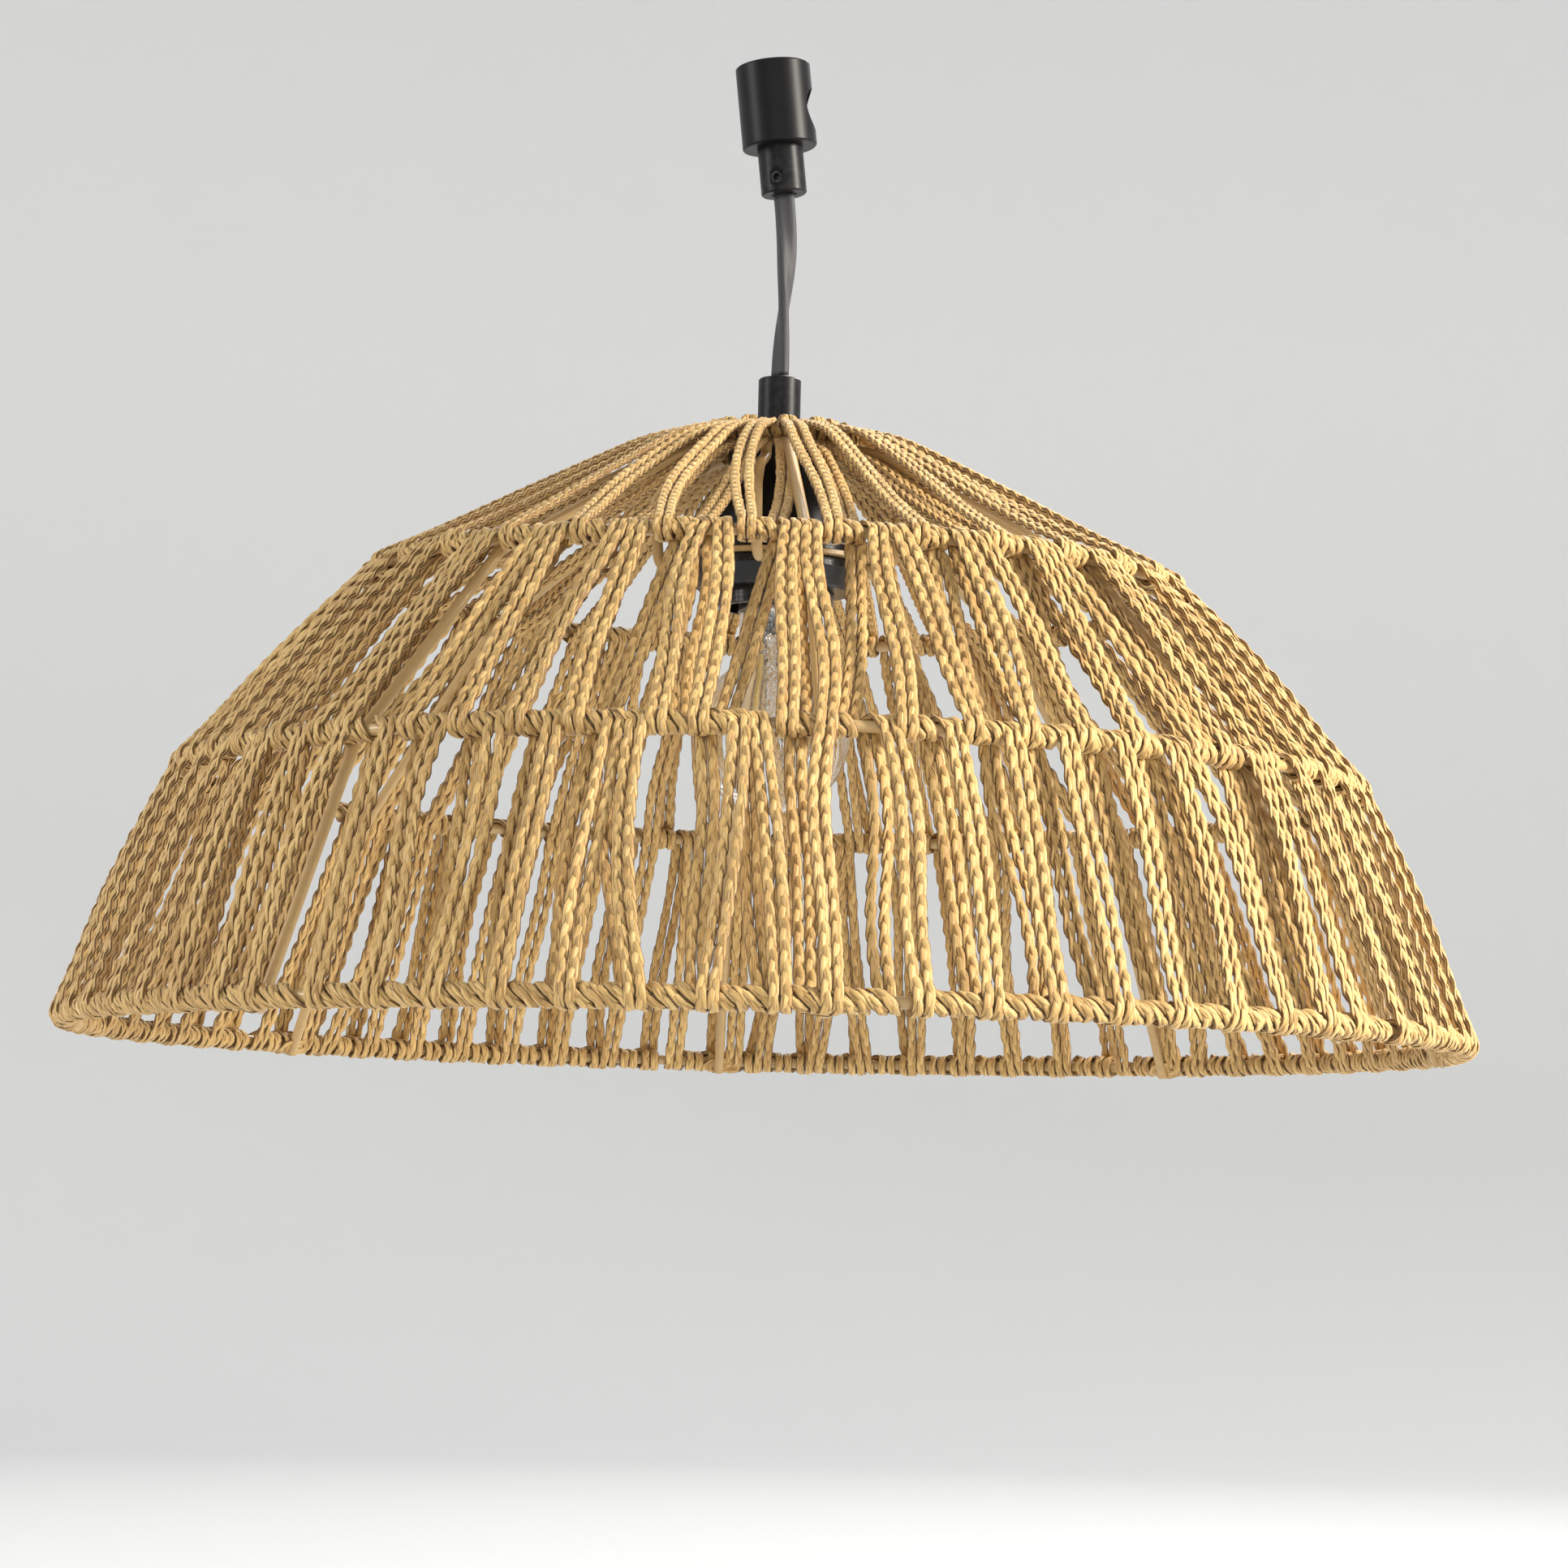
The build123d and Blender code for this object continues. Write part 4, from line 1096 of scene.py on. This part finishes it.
class OBJECT_OT_shade_rope(bpy.types.Operator):
    """Wind the three tiers of paired plaits on the wire frame"""

    bl_idname = "object.shade_rope"
    bl_label = "Plaited windings"

    def execute(self, context):
        plait = context.scene.shade_plait
        draw = np.random.default_rng(WINDING_SEED)
        hoops = ("top_ring", "upper_hoop", "middle_hoop", "bottom_hoop")
        crown, upper, middle, bottom = (hoop(name) for name in hoops)
        pairs = {"upper": plait.crown_pairs, "middle": plait.middle_pairs, "lower": plait.lower_pairs}
        crown_over = crowded((np.arange(pairs["upper"]) + 0.5) * 2 * math.pi / pairs["upper"])
        passes = {tier: 1 + turns for tier, turns in EXTRA_TURNS.items()}
        upper_over, upper_under, upper_share = ring_places(
            pairs["middle"], pairs["upper"], passes["upper"], draw
        )
        middle_over, middle_under, middle_share = ring_places(
            pairs["lower"], pairs["middle"], passes["middle"], draw
        )
        bottom_share = 2 * math.pi / (pairs["lower"] * passes["lower"])
        bottom_under = np.arange(pairs["lower"]) * passes["lower"] * bottom_share + BOTTOM_START
        finish = plaited_cord(plait)
        width, crown_width = plait.width, plait.crown_width
        plans = [
            ("upper", crown, upper, crown_over, upper_under, upper_share,
             (crown_width, crown_width, crown_width * CROWN_TOP_WIDTH), plait.crown_lay,
             ("upper_winding",)),
            ("middle", upper, middle, upper_over, middle_under, middle_share, (width, width, width),
             plait.lay, ("middle_winding", "upper_wrap")),
            ("lower", middle, bottom, middle_over, bottom_under, bottom_share, (width, width, width),
             plait.lay, ("lower_winding", "middle_wrap", "bottom_wrap")),
        ]
        for tier, top, foot, top_places, foot_places, share, widths, lay, replaced in plans:
            feet = paired(top_places, foot_places)
            if tier != "upper":
                top_places, feet = over_ribs(top_places, feet)
            parts = tier_line(tier, top, foot, top_places, feet, share, widths, draw)
            thickness = plait.crown_thickness if tier == "upper" else plait.thickness
            line_parts = even_line(lay / STATIONS_PER_LAY, *parts)
            rope_pieces(tier, SECTORS[tier], (-1, 1), line_parts, lay, thickness, finish, replaced)
        ring = even_line(plait.crown_lay / STATIONS_PER_LAY, *ring_line(crown))
        rope_pieces("ring", 1, (0,), ring, plait.crown_lay, RING_THICKNESS, finish, ("top_ring_wrap",))
        return {"FINISHED"}


class OBJECT_OT_shade_fittings(bpy.types.Operator):
    """Give the head, lampholder, wire frame and bulb their finishes"""

    bl_idname = "object.shade_fittings"
    bl_label = "Fittings and bulb"

    def execute(self, context):
        make_grain_group()
        make_turned_group()
        make_wear_group()
        for slot, nodes in FINISHED_NODES.items():
            made = FINISHES[slot](context.scene.shade_finish)
            for name in nodes:
                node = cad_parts[name]
                node.data.materials.clear()
                node.data.materials.append(made)
        return {"FINISHED"}


class OBJECT_OT_shade_camera(bpy.types.Operator):
    """Place the camera below the shade's mouth, looking slightly up"""

    bl_idname = "object.shade_camera"
    bl_label = "Camera"

    def execute(self, context):
        studio = context.scene.shade_studio
        data = bpy.data.cameras.new("camera")
        data.lens = studio.focal_length
        data.sensor_width = 36.0
        data.clip_start = 0.05
        camera = link(bpy.data.objects.new("camera", data))
        pitch, roll = studio.camera_pitch, studio.camera_roll
        back = Vector((0, -math.cos(pitch), -math.sin(pitch)))
        level_up = Vector((0, -math.sin(pitch), math.cos(pitch)))
        right = math.cos(roll) * Vector((1, 0, 0)) + math.sin(roll) * level_up
        up = -math.sin(roll) * Vector((1, 0, 0)) + math.cos(roll) * level_up
        matrix = camera.matrix_world.copy()
        for column, axis in enumerate((right, up, back)):
            for row in range(3):
                matrix[row][column] = axis[row]
        matrix.translation = studio.camera_place
        camera.matrix_world = matrix
        context.scene.camera = camera
        return {"FINISHED"}


class OBJECT_OT_shade_stage(bpy.types.Operator):
    """Set up the paper floor and wall and the soft studio lights"""

    bl_idname = "object.shade_stage"
    bl_label = "Stage"

    def execute(self, context):
        studio = context.scene.shade_studio
        floor = CAD_BOX[0].z - studio.floor_drop
        self.backdrop(studio, floor)
        world = bpy.data.worlds.new("studio_air")
        world.use_nodes = True
        air = world.node_tree.nodes["Background"]
        air.inputs["Color"].default_value = AIR_COLOUR
        air.inputs["Strength"].default_value = AIR_STRENGTH
        context.scene.world = world
        context.scene.view_settings.view_transform = "Standard"
        for name, light in LIGHTS.items():
            self.lamp(name, *light)
        return {"FINISHED"}

    def backdrop(self, studio, floor):
        """A sheet of paper that lies flat and curves up behind the shade on every side."""
        mesh = bpy.data.meshes.new("backdrop")
        profile = [(PAPER_FLAT, 0.0)]
        profile += [(PAPER_FLAT + PAPER_BEND * math.sin(a), PAPER_BEND - PAPER_BEND * math.cos(a))
                    for a in PAPER_BEND_ANGLES]
        profile.append(PAPER_END)
        around = np.linspace(0, 2 * math.pi, PAPER_SIDES + 1)[:-1]
        points = [(0, 0, floor)]
        points += [(r * math.cos(a), r * math.sin(a), floor + z) for r, z in profile for a in around]
        count = len(around)
        faces = [(0, 1 + k, 1 + (k + 1) % count) for k in range(count)]
        for ring in range(len(profile) - 1):
            base = 1 + ring * count
            faces += [(base + k, base + count + k, base + count + (k + 1) % count, base + (k + 1) % count)
                      for k in range(count)]
        mesh.from_pydata(points, [], faces)
        mesh.polygons.foreach_set("use_smooth", [True] * len(mesh.polygons))
        paper, tree, shader = material("backdrop_paper")
        tooth = add(tree, "ShaderNodeTexNoise", {"Vector": surface_place(tree), "Scale": 900.0})
        feed(tree, shader, {
            "Base Color": colour(studio.backdrop),
            "Roughness": 0.9,
            "Normal": bump(tree, tooth.outputs["Fac"], 0.05, 0.0003),
        })
        mesh.materials.append(paper)
        link(bpy.data.objects.new("backdrop", mesh))

    def lamp(self, name, place, power, size, tint):
        """A square soft light that faces the shade."""
        data = bpy.data.lights.new(name, "AREA")
        data.energy = power
        data.size = size
        data.color = tint
        lamp = link(bpy.data.objects.new(name, data))
        lamp.location = place
        lamp.rotation_mode = "QUATERNION"
        lamp.rotation_quaternion = (Vector(LIT_POINT) - Vector(place)).to_track_quat("-Z", "Y")


OPERATORS = (
    OBJECT_OT_shade_camera,
    OBJECT_OT_shade_fittings,
    OBJECT_OT_shade_cord,
    OBJECT_OT_shade_rope,
    OBJECT_OT_shade_stage,
)


class VIEW3D_PT_lamp_shade(bpy.types.Panel):
    """The shade's pieces and their sizes"""

    bl_idname = "VIEW3D_PT_lamp_shade"
    bl_label = "Lamp shade"
    bl_space_type = "VIEW_3D"
    bl_region_type = "UI"
    bl_category = "Lamp shade"

    def draw(self, context):
        for operator in OPERATORS:
            self.layout.operator(operator.bl_idname)
        for name, group in SETTINGS.items():
            box = self.layout.box()
            for field in group.__annotations__:
                box.prop(getattr(context.scene, name), field)


CLASSES = (*SETTINGS.values(), *OPERATORS, VIEW3D_PT_lamp_shade)


def register():
    for cls in CLASSES:
        bpy.utils.register_class(cls)
    for name, group in SETTINGS.items():
        setattr(bpy.types.Scene, name, PointerProperty(type=group))


def unregister():
    for name in SETTINGS:
        delattr(bpy.types.Scene, name)
    for cls in reversed(CLASSES):
        bpy.utils.unregister_class(cls)


def main():
    register()
    bpy.ops.object.shade_camera()
    bpy.ops.object.shade_fittings()
    bpy.ops.object.shade_cord()
    bpy.ops.object.shade_rope()
    bpy.ops.object.shade_stage()


if __name__ == "__main__":
    main()
